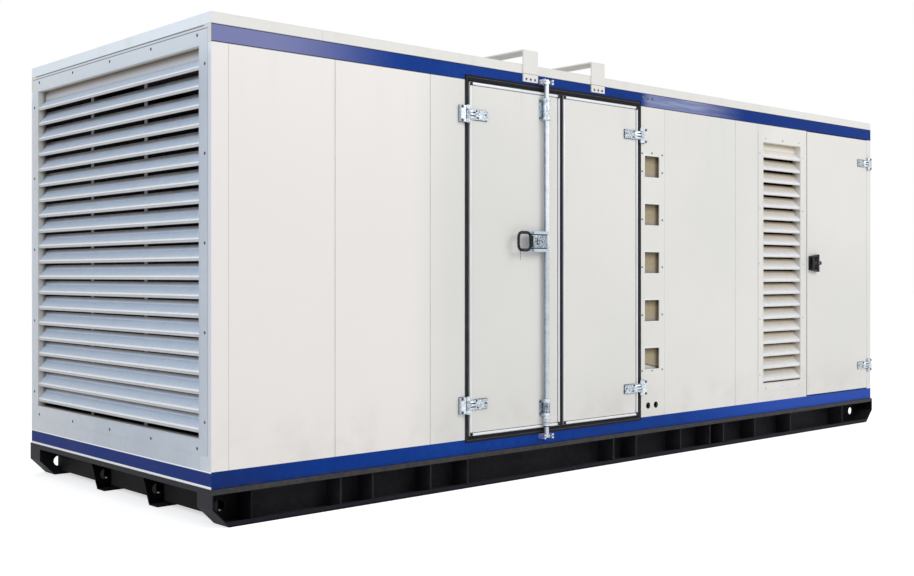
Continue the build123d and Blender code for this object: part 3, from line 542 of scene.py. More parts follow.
def dark_steel():
    """Blackened screw heads with worn, lighter rims."""
    f = Finish("dark_steel", ZINC_SEED)
    worn = f.ramp(f.noise(160.0, 3.0, 0.6), 0.4, 0.7)
    return f.surface(
        Base_Color=f.mix(worn, (62, 66, 74), (126, 132, 142)),
        Metallic=0.6, Roughness=0.32 + 0.2 * worn,
    )


def sealant():
    """Pale grey sealant in the wall seams, a little uneven along its length."""
    f = Finish("sealant", PANEL_SEED)
    uneven = f.noise(14.0, 4.0, 0.6, (1.0, 1.0, 0.5))
    return f.surface(
        Base_Color=f.blend(uneven, 0.35, 0.65, (206, 203, 197), (186, 183, 177)),
        Roughness=0.5 + 0.2 * uneven,
    )


FINISHES = {make.__name__: make() for make in (
    panel_paint, blue_paint, skid_paint, louvre_paint, seal_rubber, zinc_plate, trim_metal, black_plastic, port_lining,
)}
# End blades: a painted shadow line at the foot of the lip, a painted highlight on the bend, a painted bluish sky
# reflection on the slope, painted shade and soot toward the top, and painted shade at the top of the closer.
END_BLADE_PAINT = blade_paint(
    "end_blade_paint", *END_BLADES[:2],
    (
        (0.0, (140, 138, 136)), (0.05, (200, 201, 204)), (0.09, (176, 179, 184)), (0.13, (182, 186, 192)),
        (0.17, (250, 253, 255)), (0.225, (250, 253, 255)), (0.265, (204, 217, 233)), (0.42, (202, 217, 236)),
        (0.58, (204, 219, 240)), (0.68, (196, 210, 230)), (0.76, (148, 156, 170)), (0.84, (70, 68, 70)),
        (0.90, (40, 38, 40)),
    ),
    ((190, 192, 196), (128, 114, 98)), 0.07, PANEL_SEED,
)
# Side blades: a painted highlight on the bend, painted tan shade toward the top of each pitch, and painted shade at
# the top of the closer.
SIDE_BLADE_PAINT = blade_paint(
    "side_blade_paint", *SIDE_BLADES[:2],
    (
        (0.0, (206, 196, 178)), (0.08, (228, 226, 224)), (0.20, (240, 243, 248)), (0.34, (234, 234, 236)),
        (0.54, (232, 224, 210)), (0.68, (218, 206, 186)), (0.78, (160, 146, 124)), (0.88, (92, 80, 62)),
    ),
    ((232, 228, 218), (186, 172, 148)), 0.0, BLUE_SEED,
)
DARK_STEEL = dark_steel()
ROD_ZINC = rod_zinc()
CASE_ZINC = zinc_plate("case_zinc", 0.95, (84, 94, 108), (196, 206, 216))
HINGE_ZINC = zinc_plate("hinge_zinc", 0.75, (116, 130, 146), (226, 234, 240))
MULLION_PAINT = louvre_paint("mullion_paint", (150, 148, 146))
SEALANT = sealant()
# Near-black: for blade bolts, washers and grommets, and as painted shade on the hinge arms' grooves and in the end
# lock's pits.
PIT_BLACK = seal_rubber("pit_black", (3, 3, 4), (8, 8, 9))
DUSTY_RUBBER = seal_rubber("dusty_rubber", (60, 57, 58), (86, 80, 78))

# Nodes whose finish differs from the one of their slot
OWN_FINISHES = {"lock_rod": ROD_ZINC, "end_louvre_mullions": MULLION_PAINT}
for door in ("door_left", "door_right", "end_door", "rear_door"):
    OWN_FINISHES[f"{door}_fittings"] = HINGE_ZINC

for part in frame["record"]["subparts"]:
    finish = OWN_FINISHES.get(part["node"], FINISHES[part["material_slot"]])
    for holder in frame["nodes"][part["node"]].material_slots:
        holder.material = finish


def placed(name, data):
    """New object in the scene that holds a mesh, a lamp or a lens."""
    made = bpy.data.objects.new(name, data)
    bpy.context.scene.collection.objects.link(made)
    return made


def add_piece(name, shape, slot, body, finish=None):
    """Mesh object at the origin from points and faces, smooth but with its folds kept crisp."""
    points, faces = shape
    points = np.asarray(points, float).reshape(-1, 3)
    mesh = bpy.data.meshes.new(name)
    mesh.from_pydata(points.tolist(), [], faces)
    mesh.polygons.foreach_set("use_smooth", [True] * len(mesh.polygons))
    mesh.materials.append(finish or FINISHES[slot])
    mesh.update()
    mesh.set_sharp_from_angle(angle=math.radians(FOLD))
    piece = placed(name, mesh)
    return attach(piece, body)


def outward(points, faces):
    """The same closed shape with its faces turned outward, told by the sign of its volume."""
    points = np.asarray(points, float).reshape(-1, 3)
    volume = 0.0
    for face in faces:
        first = points[face[0]]
        for second, third in zip(face[1:], face[2:]):
            volume += float(np.dot(first, np.cross(points[second], points[third])))
    return (points, faces) if volume > 0.0 else (points, [tuple(reversed(face)) for face in faces])


def join(*shapes):
    """One shape from several."""
    points, faces, start = [], [], 0
    for more_points, more_faces in shapes:
        points.append(np.asarray(more_points, float).reshape(-1, 3))
        faces += [tuple(start + corner for corner in face) for face in more_faces]
        start += len(points[-1])
    return np.vstack(points), faces


def mirrored(shape):
    """The same shape on the far side of the canopy."""
    points, faces = shape
    return points * np.array([1.0, -1.0, 1.0]), [tuple(reversed(face)) for face in faces]


def lathe_faces(rings, sides):
    """Faces of a closed turned shape: a pole, rings of points, a pole."""
    around = list(range(sides))
    after = around[1:] + around[:1]
    last = 1 + rings * sides
    faces = [(0, 1 + b, 1 + a) for a, b in zip(around, after)]
    for ring in range(rings - 1):
        low = 1 + ring * sides
        high = low + sides
        faces += [(low + a, low + b, high + b, high + a) for a, b in zip(around, after)]
    top = last - sides
    faces += [(top + a, top + b, last) for a, b in zip(around, after)]
    return faces


def hoop_faces(rings, sides):
    """Faces of a closed hoop: each ring of points is joined to the next, and the last to the first."""
    faces = []
    for number in range(rings):
        here, there = number * sides, (number + 1) % rings * sides
        faces += [(here + a, there + a, there + (a + 1) % sides, here + (a + 1) % sides) for a in range(sides)]
    return faces


def turned(centres, axis, profile, sides=14, turn=0.0):
    """Turned shapes at many centres: radius and height along the profile, carried round the axis."""
    axis = np.asarray(axis, float)
    across = np.cross(axis, (0.0, 0.0, 1.0) if abs(axis[2]) < 0.9 else (1.0, 0.0, 0.0))
    across /= np.linalg.norm(across)
    third = np.cross(axis, across)
    profile = np.asarray(profile, float)
    angle = turn + np.arange(sides) * 2.0 * math.pi / sides
    wheel = np.cos(angle)[:, None] * across + np.sin(angle)[:, None] * third
    rings = profile[1:-1, 0, None, None] * wheel + profile[1:-1, 1, None, None] * axis
    shape = np.vstack([[profile[0, 1] * axis], rings.reshape(-1, 3), [profile[-1, 1] * axis]])
    points, faces = outward(shape, lathe_faces(len(profile) - 2, sides))
    return join(*[(points + np.asarray(centre, float), faces) for centre in centres])


def dome(radius, height):
    """Profile of a pan head: a short straight side, then a quarter of an ellipse."""
    swell = np.linspace(0.0, math.pi / 2, 5)
    crown = np.stack([radius * np.cos(swell), height * (0.3 + 0.7 * np.sin(swell))], 1)
    crown[-1, 0] = 0.0
    return [(0.0, -SUNK), (radius, -SUNK), *crown.tolist()]


def bolt(radius, height):
    """Profile of a bolt on a washer."""
    washer = 0.25 * height
    return [
        (0.0, -SUNK), (1.5 * radius, -SUNK), (1.5 * radius, washer), (radius, washer),
        (radius, 0.8 * height), (0.8 * radius, height), (0.0, height),
    ]


def drum(radius, tall, crown=0.0):
    """Profile of a short cylinder whose top may rise a little toward the middle."""
    return [(0.0, 0.0), (radius, 0.0), (radius, tall - crown), (0.0, tall)]


def barrel(radius, foot, top, edge):
    """Profile of a round body between two heights; its rims are drawn in by 1 mm over a short edge."""
    rim = radius - 0.001
    return [(0.0, foot), (rim, foot), (radius, foot + edge), (radius, top - edge), (rim, top), (0.0, top)]


def bent_sheet(corners, bend, sheet):
    """Outline of a folded sheet: its middle line turns each corner on an arc, both faces lie half a sheet off."""
    corners = np.asarray(corners, float)
    legs = np.diff(corners, axis=0)
    angles = np.arctan2(legs[:, 1], legs[:, 0])
    middle, slant = [corners[0]], [angles[0]]
    for place, before, after in zip(corners[1:-1], angles, angles[1:]):
        side = 1.0 if after > before else -1.0
        cut = bend * math.tan(abs(after - before) / 2)
        start = place - cut * np.array([math.cos(before), math.sin(before)])
        hub = start + side * bend * np.array([-math.sin(before), math.cos(before)])
        for angle in np.linspace(before, after, 6):
            middle.append(hub - side * bend * np.array([-math.sin(angle), math.cos(angle)]))
            slant.append(angle)
    middle.append(corners[-1])
    slant.append(angles[-1])
    middle, slant = np.array(middle), np.array(slant)
    offset = sheet / 2 * np.stack([-np.sin(slant), np.cos(slant)], 1)
    return middle + offset, middle - offset


def blades(first, pitch, count, start, end, closer, to_frame):
    """Louvre blades: the folded outline of one, repeated down the opening and drawn along its length."""
    half = SHEET / 2
    lip, slope, top = 0.016, BLADE_DEPTH, 0.080
    shapes = []
    for number in range(count):
        low = first - number * pitch
        high = closer if number == 0 else low + top
        line = [(half, low), (half, low + lip), (slope - half, low + lip + slope - SHEET), (slope - half, high)]
        one, two = bent_sheet(line, 0.007, SHEET)
        rows = len(one)
        section = np.vstack([one, two[::-1]])
        points = np.array([to_frame(place, height, -depth) for place in (start, end) for depth, height in section])
        total = 2 * rows
        faces = [(a, (a + 1) % total, total + (a + 1) % total, total + a) for a in range(total)]
        for side, flip in ((0, False), (total, True)):
            for a in range(rows - 1):
                cap = (side + a, side + total - 1 - a, side + total - 2 - a, side + a + 1)
                faces.append(tuple(reversed(cap)) if flip else cap)
        shapes.append(outward(points, faces))
    return join(*shapes)


def loop_strip(u_span, v_span, section, to_frame):
    """Strip round a rectangle: a closed section of (inset, height) points carried round four mitred corners."""
    points = []
    for u_sign, v_sign in ((-1, -1), (1, -1), (1, 1), (-1, 1)):
        for inset, height in section:
            u = (u_span[0] + inset) if u_sign < 0 else (u_span[1] - inset)
            v = (v_span[0] + inset) if v_sign < 0 else (v_span[1] - inset)
            points.append(to_frame(u, v, height))
    return outward(np.array(points), hoop_faces(4, len(section)))


def half_round(start, width, height, lift=0.0):
    """Section of a rolled edge that begins at an inset: half an ellipse with a flat back, lifted off its face."""
    swing = np.linspace(math.pi, 0.0, 7)
    return [
        (start + width / 2 * (1.0 + math.cos(a)), height * math.sin(a) - 0.0004 * (math.sin(a) < 1e-6) + lift)
        for a in swing
    ]


def pillow(low, high, round_off):
    """Rounded block: a box whose corners are eighths of a ball, from two angles on a grid."""
    low, high = np.asarray(low, float), np.asarray(high, float)
    centre, half = (low + high) / 2, (high - low) / 2
    radius = min(round_off, *half)
    spread = [quarter * math.pi / 2 + np.linspace(0.0, math.pi / 2, 4) + 1e-9 for quarter in range(4)]
    lower = np.linspace(-math.pi / 2, 0.0, 5)[1:] - 1e-9
    upper = np.linspace(0.0, math.pi / 2, 5)[:-1] + 1e-9
    around, up = np.meshgrid(np.concatenate(spread), np.concatenate([lower, upper]))
    way = np.stack([np.cos(up) * np.cos(around), np.cos(up) * np.sin(around), np.sin(up)], 2)
    quarter_of = np.repeat(np.arange(4), 4)
    sign_x = np.where((quarter_of == 0) | (quarter_of == 3), 1.0, -1.0) * np.ones_like(around)
    sign_y = np.where(quarter_of < 2, 1.0, -1.0) * np.ones_like(around)
    sign_z = np.where(up < 0.0, -1.0, 1.0)
    signs = np.stack([sign_x, sign_y, sign_z], 2)
    grid = centre + signs * (half - radius) + radius * way
    poles = [centre - (0.0, 0.0, half[2]), centre + (0.0, 0.0, half[2])]
    points = np.vstack([[poles[0]], grid.reshape(-1, 3), [poles[1]]])
    return outward(points, lathe_faces(grid.shape[0], grid.shape[1]))


def ring(centre, reach, thick, power=4.0, sides=48, section=12):
    """Handle ring in the XZ plane: an ellipse section carried round a path that is a superellipse."""
    around = np.linspace(0.0, 2 * math.pi, sides, endpoint=False)
    turn = np.linspace(0.0, 2 * math.pi, section, endpoint=False)
    cosine, sine = np.cos(around), np.sin(around)
    swell = (np.abs(cosine) ** power + np.abs(sine) ** power) ** (-1.0 / power)
    path = np.stack([reach[0] * swell * cosine, reach[1] * swell * sine], 1)
    ahead = np.roll(path, -1, 0) - np.roll(path, 1, 0)
    ahead /= np.linalg.norm(ahead, axis=1, keepdims=True)
    x = centre[0] + path[:, :1] + thick[0] * ahead[:, 1:] * np.cos(turn)
    z = centre[2] + path[:, 1:] - thick[0] * ahead[:, :1] * np.cos(turn)
    y = centre[1] + thick[1] * np.sin(turn) * np.ones_like(x)
    points = np.stack([x, y, z], 2).reshape(-1, 3)
    return outward(points, hoop_faces(sides, section))


def on_plane(face):
    """Frame point of a place along X, a height and a distance out of a plane on the doors' side."""
    return lambda u, v, height: (u, -face - height, v)


on_front, on_leaf, on_trim = on_plane(FACE), on_plane(LEAF_FACE), on_plane(TRIM_FACE)


def on_end(u, v, height):
    """Frame point of a place along Y, a height and a distance out of the louvred end."""
    return (-END_FACE - height, u, v)


def box_of(name):
    """Lowest and highest corner of a node, as arrays."""
    low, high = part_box(name)
    return np.array(low), np.array(high)


def add_pair(front_name, rear_name, shape, slot, body, finish=None):
    """The piece, and its mirror image on the far side of the canopy."""
    add_piece(front_name, shape, slot, body, finish)
    add_piece(rear_name, mirrored(shape), slot, "canopy", finish)


# Louvre blades with rolled bends, and the rolled edges round both openings
low, high = box_of("end_louvre_blades")
shape = blades(*END_BLADES, low[1], high[1], high[2], on_end)
rolled_blades = add_piece("end_louvre_rolled_blades", shape, "louvre_paint", "canopy", END_BLADE_PAINT)
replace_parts(rolled_blades, "end_louvre_blades")
end_opening = ((low[1], high[1]), (0.415, high[2]))
low, high = box_of("side_louvre_blades")
shape = blades(*SIDE_BLADES, low[0], high[0], high[2], on_front)
rolled_blades = add_piece("side_louvre_rolled_blades", shape, "panel_paint", "canopy", SIDE_BLADE_PAINT)
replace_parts(rolled_blades, "side_louvre_blades")
side_opening = ((low[0], high[0]), (0.402, high[2]))

rolled = half_round(-0.006, 0.0075, 0.0030, SHEET)
add_piece("end_louvre_rolled_edge", loop_strip(*end_opening, rolled, on_end), "louvre_paint", "canopy")
add_piece("side_louvre_rolled_edge", loop_strip(*side_opening, rolled, on_front), "panel_paint", "canopy")


def round_flange(rows, across, columns, upward):
    """Places round a flange: along its two rows, then up its two columns."""
    return [(u, v) for v in rows for u in across] + [(u, v) for u in columns for v in upward]


# Screws round the flanges of the two louvres
frame_face = box_of("end_louvre_frame")[0][0]
places = round_flange((0.367, 2.328), np.linspace(-0.925, 0.930, 5), (-0.996, 1.0), np.linspace(0.497, 2.185, 5))
screws = turned([(frame_face, y, z) for y, z in places], LEFT, bolt(0.0055, 0.0025))
add_piece("end_louvre_screws", screws, "zinc_plate", "canopy", DARK_STEEL)
frame_face = box_of("side_louvre_frame")[0][1]
places = round_flange((0.365, 2.183), np.linspace(1.526, 1.964, 3), (1.449, 2.021), np.linspace(0.470, 2.075, 5))
screws = turned([(x, frame_face, z) for x, z in places], OUT, bolt(0.006, 0.0045))
add_piece("side_louvre_screws", screws, "zinc_plate", "canopy")

# Double doorway: dusty rib and beads of the gasket
low, high = box_of("door_frame")
left_leaf, right_leaf = box_of("door_left"), box_of("door_right")
REVEAL = 0.012
gasket = ((low[0], high[0]), (low[2] - 0.017, high[2] + 0.029))
inner = ((left_leaf[0][0] - REVEAL, right_leaf[1][0] + REVEAL), (left_leaf[0][2] - REVEAL, left_leaf[1][2] + REVEAL))
rib = loop_strip(*gasket, half_round(0.009, 0.006, 0.002, SHEET), on_front)
beads = join(
    loop_strip(*gasket, half_round(0.001, 0.007, 0.003, SHEET), on_front),
    loop_strip(*inner, half_round(-0.004, 0.006, 0.003, SHEET), on_front),
)
add_pair("door_gasket_rib", "rear_gasket_rib", rib, "seal_rubber", "canopy", DUSTY_RUBBER)
add_pair("door_gasket_beads", "rear_gasket_beads", beads, "seal_rubber", "canopy")

# Leaves of the double door: rolled trims, dark strips that paint the shade of the grooves inboard of them, and corner
# plugs; the rear ones are joined by kind
PLUG_INSET = 0.010
PLUG = [(0.0, -SUNK), (0.0130, -SUNK), (0.0130, 0.0035), (0.0095, 0.0048), (0.0, 0.0050)]
trim_kinds = (
    ("rolled_trim", "rolled_trims", "trim_metal", None),
    # Dark strip inboard of each trim: painted shade of the groove there.
    ("groove", "grooves", "seal_rubber", DARK_STEEL),
    ("corner_plugs", "corner_plugs", "black_plastic", None),
)
rear_trims = [[], [], []]
for name, body, (low, high) in (("left", "left_door", left_leaf), ("right", "right_door", right_leaf)):
    spans = ((low[0], high[0]), (low[2], high[2]))
    corners = [(x, -TRIM_FACE, z) for x in (low[0] + PLUG_INSET, high[0] - PLUG_INSET)
               for z in (low[2] + PLUG_INSET, high[2] - PLUG_INSET)]
    trims = (
        loop_strip(*spans, half_round(0.0015, 0.011, 0.0028), on_trim),
        loop_strip(*spans, half_round(0.0145, 0.0035, 0.0008), on_leaf),
        turned(corners, OUT, PLUG, 4, math.pi / 4),
    )
    for (kind, _, slot, finish), shape, rear in zip(trim_kinds, trims, rear_trims):
        add_piece(f"door_{name}_{kind}", shape, slot, body, finish)
        rear.append(mirrored(shape))
for (_, kind, slot, finish), rear in zip(trim_kinds, rear_trims):
    add_piece(f"rear_door_{kind}", join(*rear), slot, "canopy", finish)


def hinge_arm(pivot, leafward, middle, face):
    """Arm over a hinge blade: along X it narrows and thins, round it is half a superellipse with a flat back."""
    along = np.array([0.010, 0.012, 0.020, 0.032, 0.044, 0.055, 0.062, 0.066])
    tall = np.array([0.020, 0.025, 0.0275, 0.0265, 0.0240, 0.0225, 0.0200, 0.0140])
    deep = np.array([0.010, 0.014, 0.0165, 0.0160, 0.0130, 0.0100, 0.0070, 0.0030])
    angle = np.linspace(0.0, math.pi, 11)
    up = np.sign(np.cos(angle)) * np.abs(np.cos(angle)) ** 0.7
    out = np.abs(np.sin(angle)) ** 0.7
    z = middle + tall[:, None] * up
    y = face - deep[:, None] * out
    x = pivot + leafward * along[:, None] * np.ones_like(z)
    rings = np.stack([x, y, z], 2)
    poles = [(pivot + leafward * along[0], face - 0.004, middle), (pivot + leafward * along[-1], face - 0.001, middle)]
    points = np.vstack([[poles[0]], rings.reshape(-1, 3), [poles[1]]])
    return outward(points, lathe_faces(len(along), len(angle)))


def hinge_set(pivot, leafward, face, bolt_reach):
    """Arms, then blade bolts and near-black strips that paint the shade in the arm grooves of the leaf, then plate
    bolts and pin heads of the brackets.
    """
    blade_face = face - HINGE_BLADE
    pin_y = face - KNUCKLE
    arms = join(*[hinge_arm(pivot, leafward, z, blade_face + 0.001) for z in HINGE_HEIGHTS])
    on_blade = [(pivot + leafward * reach, blade_face, z + rise) for z in HINGE_HEIGHTS
                for reach, rise in ((0.070, 0.021), (0.078, -0.016), (0.140, 0.004))]
    near, far = sorted((pivot + leafward * 0.013, pivot + leafward * 0.048))
    grooves = [
        pillow((near, blade_face - 0.0155, z + rise - 0.0032), (far, blade_face - 0.009, z + rise + 0.0032), 0.001)
        for z in HINGE_HEIGHTS for rise in (-0.0095, 0.0095)
    ]
    dark_side = join(turned(on_blade, OUT, dome(0.0055, 0.003)), *grooves)
    on_plate = [(pivot - leafward * bolt_reach, pin_y, z + rise) for z in HINGE_HEIGHTS for rise in (-0.038, 0.038)]
    head = [(0.0, -0.001), (0.0105, -0.001), (0.0105, 0.003), (0.007, 0.005), (0.0, 0.0055)]
    pins = join(*[turned([(pivot, pin_y, z + way * HALF_PIN) for z in HINGE_HEIGHTS], (0, 0, way), head, 18)
                  for way in (1, -1)])
    return arms, dark_side, turned(on_plate, OUT, bolt(0.006, 0.006)), pins


def hinge_shade_plates(pivot, leafward, leaf_y, wall_y):
    """Dark plates that show as a thin edge round the blades and the wall plates, as thin pillows: painted shade of the
    gaps behind them.
    """
    under_blade, under_plate = [], []
    for z in HINGE_HEIGHTS:
        for kept, ends, tall, back in (
            (under_blade, (0.060, 0.1585), 0.0305, leaf_y),
            (under_plate, (-0.0155, -0.0545), 0.0485, wall_y),
        ):
            left, right = sorted(pivot + leafward * end for end in ends)
            kept.append(pillow((left, back - 0.0014, z - tall), (right, back + 0.0006, z + tall), 0.001))
    return join(*under_blade), join(*under_plate)


# Hinges: swollen arms, bolts, pin heads, and dark plates that paint the shade round blades and wall plates; the rear
# ones belong to the canopy
for name, body, pivot, leafward, face, bolt_reach, leaf_y in (
    ("left", "left_door", LEFT_PIVOT, 1, -TRIM_FACE, 0.043, -LEAF_FACE),
    ("right", "right_door", RIGHT_PIVOT, -1, -TRIM_FACE, 0.043, -LEAF_FACE),
    ("end", "end_door_leaf", END_PIVOT, -1, -END_LEAF_FACE, 0.034, -END_LEAF_FACE),
):
    arms, dark_side, bolts, pins = hinge_set(pivot, leafward, face, bolt_reach)
    under_blade, under_plate = hinge_shade_plates(pivot, leafward, leaf_y, -FACE)
    add_piece(f"{name}_hinge_arms", arms, "zinc_plate", body)
    add_piece(f"{name}_blade_bolts", dark_side, "zinc_plate", body, PIT_BLACK)
    add_piece(f"{name}_hinge_bolts", bolts, "zinc_plate", "canopy", DARK_STEEL)
    add_piece(f"{name}_hinge_pins", pins, "zinc_plate", "canopy")
    add_piece(f"{name}_hinge_shade_plates", under_blade, "seal_rubber", body)
    add_piece(f"{name}_plate_shade_edges", under_plate, "seal_rubber", "canopy")
    if name != "end":
        add_piece(f"rear_{name}_hinge_arms", mirrored(join(arms, pins)), "zinc_plate", "canopy")
        add_piece(f"rear_{name}_hinge_bolts", mirrored(join(bolts, dark_side)), "zinc_plate", "canopy", DARK_STEEL)


def round_rod(feet, profile):
    """Turned shapes round the lock rod, one on each foot."""
    return turned([(ROD_X, ROD_Y, foot) for foot in feet], UP, profile, 24)


def beside_rod(y, heights):
    """Places 33 mm left and right of the lock rod."""
    return [(ROD_X + side * 0.033, y, z) for side in (-1, 1) for z in heights]


def lever_block(left, right, foot, top, proud, back, round_off=0.001):
    """Block on the lever plates: its ends along X, its heights, and how far its two faces stand out."""
    return pillow((left, -LEVER_FACE - proud, foot), (right, -LEVER_FACE - back, top), round_off)


# Lock rod: bolts, sleeves and housings of the bearings, keeper bolts, collars; lever case, its slot, dark strips along
# its top and bottom, the lower one a painted shadow, key
slots = join(*[lever_block(*block) for block in (
    (-0.918, -0.911, 1.370, 1.408, 0.0112, 0.009),
    (-0.918, -0.898, 1.366, 1.373, 0.0112, 0.009),
    # Dark strips along the case's top and bottom; the lower one is a painted shadow under the case.
    (-0.956, -0.820, 1.4245, 1.4300, 0.0035, 0.0),
    (-0.956, -0.820, 1.3420, 1.3475, 0.0035, 0.0),
    (-0.960, -0.948, 1.352, 1.420, 0.013, 0.009, 0.002),
)])
for name, shape, slot, body, finish in (
    ("lock_bearing_bolts", turned(beside_rod(-TRIM_FACE, (0.366, 0.441, 2.119, 2.222)), OUT, bolt(0.005, 0.0045)),
     "zinc_plate", "left_door", DARK_STEEL),
    ("lock_bearing_sleeves", round_rod((0.352, 0.435, 2.105, 2.216), barrel(0.0235, 0.001, 0.019, 0.003)),
     "zinc_plate", "left_door", None),
    ("lock_lower_housing", round_rod((0.369,), barrel(0.0205, 0.0, 0.066, 0.002)),
     "zinc_plate", "left_door", CASE_ZINC),
    ("lock_upper_housing", round_rod((2.122,), barrel(0.0205, 0.0, 0.095, 0.002)),
     "zinc_plate", "left_door", None),
    ("lock_keeper_bolts", turned(beside_rod(-1.102, (0.236, 2.332)), OUT, dome(0.005, 0.003)),
     "zinc_plate", "canopy", DARK_STEEL),
    ("rod_collars", join(round_rod((0.320,), drum(0.0205, 0.030)), round_rod((0.297,), drum(0.0205, 0.012))),
     "zinc_plate", "lock_bar", None),
    ("rod_washers", join(round_rod((0.3105,), drum(0.0190, 0.008)), round_rod((0.2915,), drum(0.0190, 0.005))),
     "zinc_plate", "lock_bar", PIT_BLACK),
    ("lever_case", lever_block(-0.956, -0.826, 1.348, 1.424, 0.010, 0.0, 0.004), "zinc_plate", "lock_bar", CASE_ZINC),
    ("lever_slot_and_shadow_strips", slots, "black_plastic", "lock_bar", None),
    ("lever_key", turned([(-1.049, -1.107, 1.276)], UP, [(0.0, 0.0), (0.0012, 0.0), (0.0022, 0.066), (0.0, 0.066)], 8),
     "zinc_plate", "lock_bar", DARK_STEEL),
):
    add_pair(name, f"rear_{name}", shape, slot, body, finish)

# Rings of the levers
low, high = box_of("lock_grip")
grip = ring((-1.0160, (high[1] + low[1]) / 2, (high[2] + low[2]) / 2), (0.0490, 0.0510), (0.0090, 0.0068))
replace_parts(add_piece("lock_ring", grip, "black_plastic", "lock_bar"), "lock_grip")
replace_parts(add_piece("rear_lock_ring", mirrored(grip), "black_plastic", "canopy"), "rear_lock_grip")


def narrowed(shape, left, right, middle):
    """The shape with its heights drawn in toward the middle: whole at the right end, to 0.76 at the left one."""
    points, faces = shape
    points = np.array(points, float)
    share = 0.76 + 0.24 * (points[:, 0] - left) / (right - left)
    points[:, 2] = middle + (points[:, 2] - middle) * share
    return points, faces


# End lock: shell that narrows towards the door's edge round the paddle, thumb turn, barrel, two near-black pads that
# paint the shade of its pits
(left, front, foot), (right, _, top) = box_of("end_lock_body")
middle = (foot + top) / 2
leaf_y = -END_LEAF_FACE
shell_y = (front + 0.001, leaf_y - 0.008)
blocks = (
    (left, right - 0.010, leaf_y - 0.015, leaf_y + SUNK, foot, top),
    (left, right - 0.014, *shell_y, foot, middle - 0.0525),
    (left, right - 0.014, *shell_y, middle + 0.0525, top),
    (right - 0.038, right - 0.010, *shell_y, foot, top),
)
shell = join(*[pillow(block[0::2], block[1::2], 0.003) for block in blocks])
thumb = join(
    turned([(right - 0.020, front + 0.004, middle + 0.003)], OUT, drum(0.016, 0.006, 0.001), 24),
    turned([(right + 0.002, front + 0.010, middle + 0.001)], OUT, drum(0.014, 0.012, 0.001), 24),
)
key_barrel = turned([(right - 0.020, front - 0.002, middle + 0.003)], OUT, dome(0.011, 0.002), 20)
pits = [pillow((right - 0.070, front - 0.0008, z - 0.012), (right - 0.046, front + 0.002, z + 0.012), 0.001)
        for z in (middle - 0.022, middle + 0.024)]
lock_shell = add_piece("end_lock_shell", narrowed(shell, left, right, middle), "black_plastic", "end_door_leaf")
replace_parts(lock_shell, "end_lock_body")
add_piece("end_lock_thumb_turn", thumb, "black_plastic", "end_door_leaf")
add_piece("end_lock_barrel", key_barrel, "zinc_plate", "end_door_leaf", DARK_STEEL)
add_piece("end_lock_pits", join(*pits), "seal_rubber", "lock_paddle", PIT_BLACK)

# Sealed seams between the wall panels: half-round beads in the 1 mm gaps
SEAM_HALF, BEAD, BEAD_POINTS = 0.0005, 0.0022, 9
low, high = box_of("panel_left_outer")
seams = [box_of(name)[1][0] + SEAM_HALF for name in (
    "panel_left_outer", "panel_left_middle", "port_plate", "panel_right_wide", "panel_right_narrow")]
seams.append(low[0] - SEAM_HALF)
bead = [(-FACE + 0.0028 - BEAD * math.sin(a), BEAD * math.cos(a)) for a in np.linspace(0.0, math.pi, BEAD_POINTS)]
around = range(BEAD_POINTS)
bead_faces = [tuple(reversed(around)), tuple(range(BEAD_POINTS, 2 * BEAD_POINTS))]
bead_faces += [(a, (a + 1) % BEAD_POINTS, BEAD_POINTS + (a + 1) % BEAD_POINTS, BEAD_POINTS + a) for a in around]
beads = join(*[
    outward([(seam + step, y, z) for z in (low[2] + 0.002, high[2] - 0.002) for y, step in bead], bead_faces)
    for seam in seams
])
add_pair("seam_beads", "rear_seam_beads", beads, "panel_paint", "canopy", SEALANT)

# Foot bolts of the roof portals, rivets of the upper band; screws, cable grommets and rims of the port plate
low, high = box_of("roof_portals")
feet = [(middle + step, low[1], low[2] + 0.016) for middle in (low[0] + 0.061, high[0] - 0.061)
        for step in (-0.036, 0.0, 0.036)]
foot_bolts = turned(feet, OUT, bolt(0.005, 0.004))
rivets = turned([(x, -FACE, 2.341) for x in (0.128, 0.176, 0.224)], OUT, dome(0.010, 0.004))
screw_places = [(x, -FACE, z) for x in (0.118, 0.325) for z in (1.979, 1.862, 1.551, 1.241, 0.930, 0.568)]
screw_places += [(0.219, -FACE, z) for z in (1.985, 0.567)]
grommets = [ring((x, -FACE + SUNK, 0.340), (0.0168, 0.0168), (0.0040, 0.0035), 2.0, 32) for x in (0.179, 0.258)]
rims = []
for number in range(PORTS):
    top = PORT_TOP - number * PORT_PITCH
    rims.append(loop_strip(RIM_SPAN, (top - 0.1445, top + 0.0075), half_round(0.0, 0.0065, 0.0025), on_front))
for name, shape, slot, finish in (
    ("portal_foot_bolts", join(foot_bolts, mirrored(foot_bolts)), "zinc_plate", DARK_STEEL),
    ("band_rivets", rivets, "blue_paint", DARK_STEEL),
    ("port_plate_screws", turned(screw_places, OUT, dome(0.0065, 0.003)), "zinc_plate", DARK_STEEL),
    ("cable_hole_grommets", join(*grommets), "seal_rubber", PIT_BLACK),
    ("port_rims", join(*rims), "trim_metal", None),
):
    add_piece(name, shape, slot, "canopy", finish)


# Share of its white that the world gives as light
WORLD_LIGHT = 0.5


def studio_white(name, owner=None):
    """Tree of a surface that looks brighter to the camera, to gloss and through glass than it lights."""
    f = Finish(name, owner=owner)
    path = [f.node("ShaderNodeLightPath", {}, {}, out) for out in
            ("Is Camera Ray", "Is Glossy Ray", "Is Transmission Ray")]
    return f, f.maths("MAXIMUM", path[0], f.maths("MAXIMUM", path[1], path[2]))


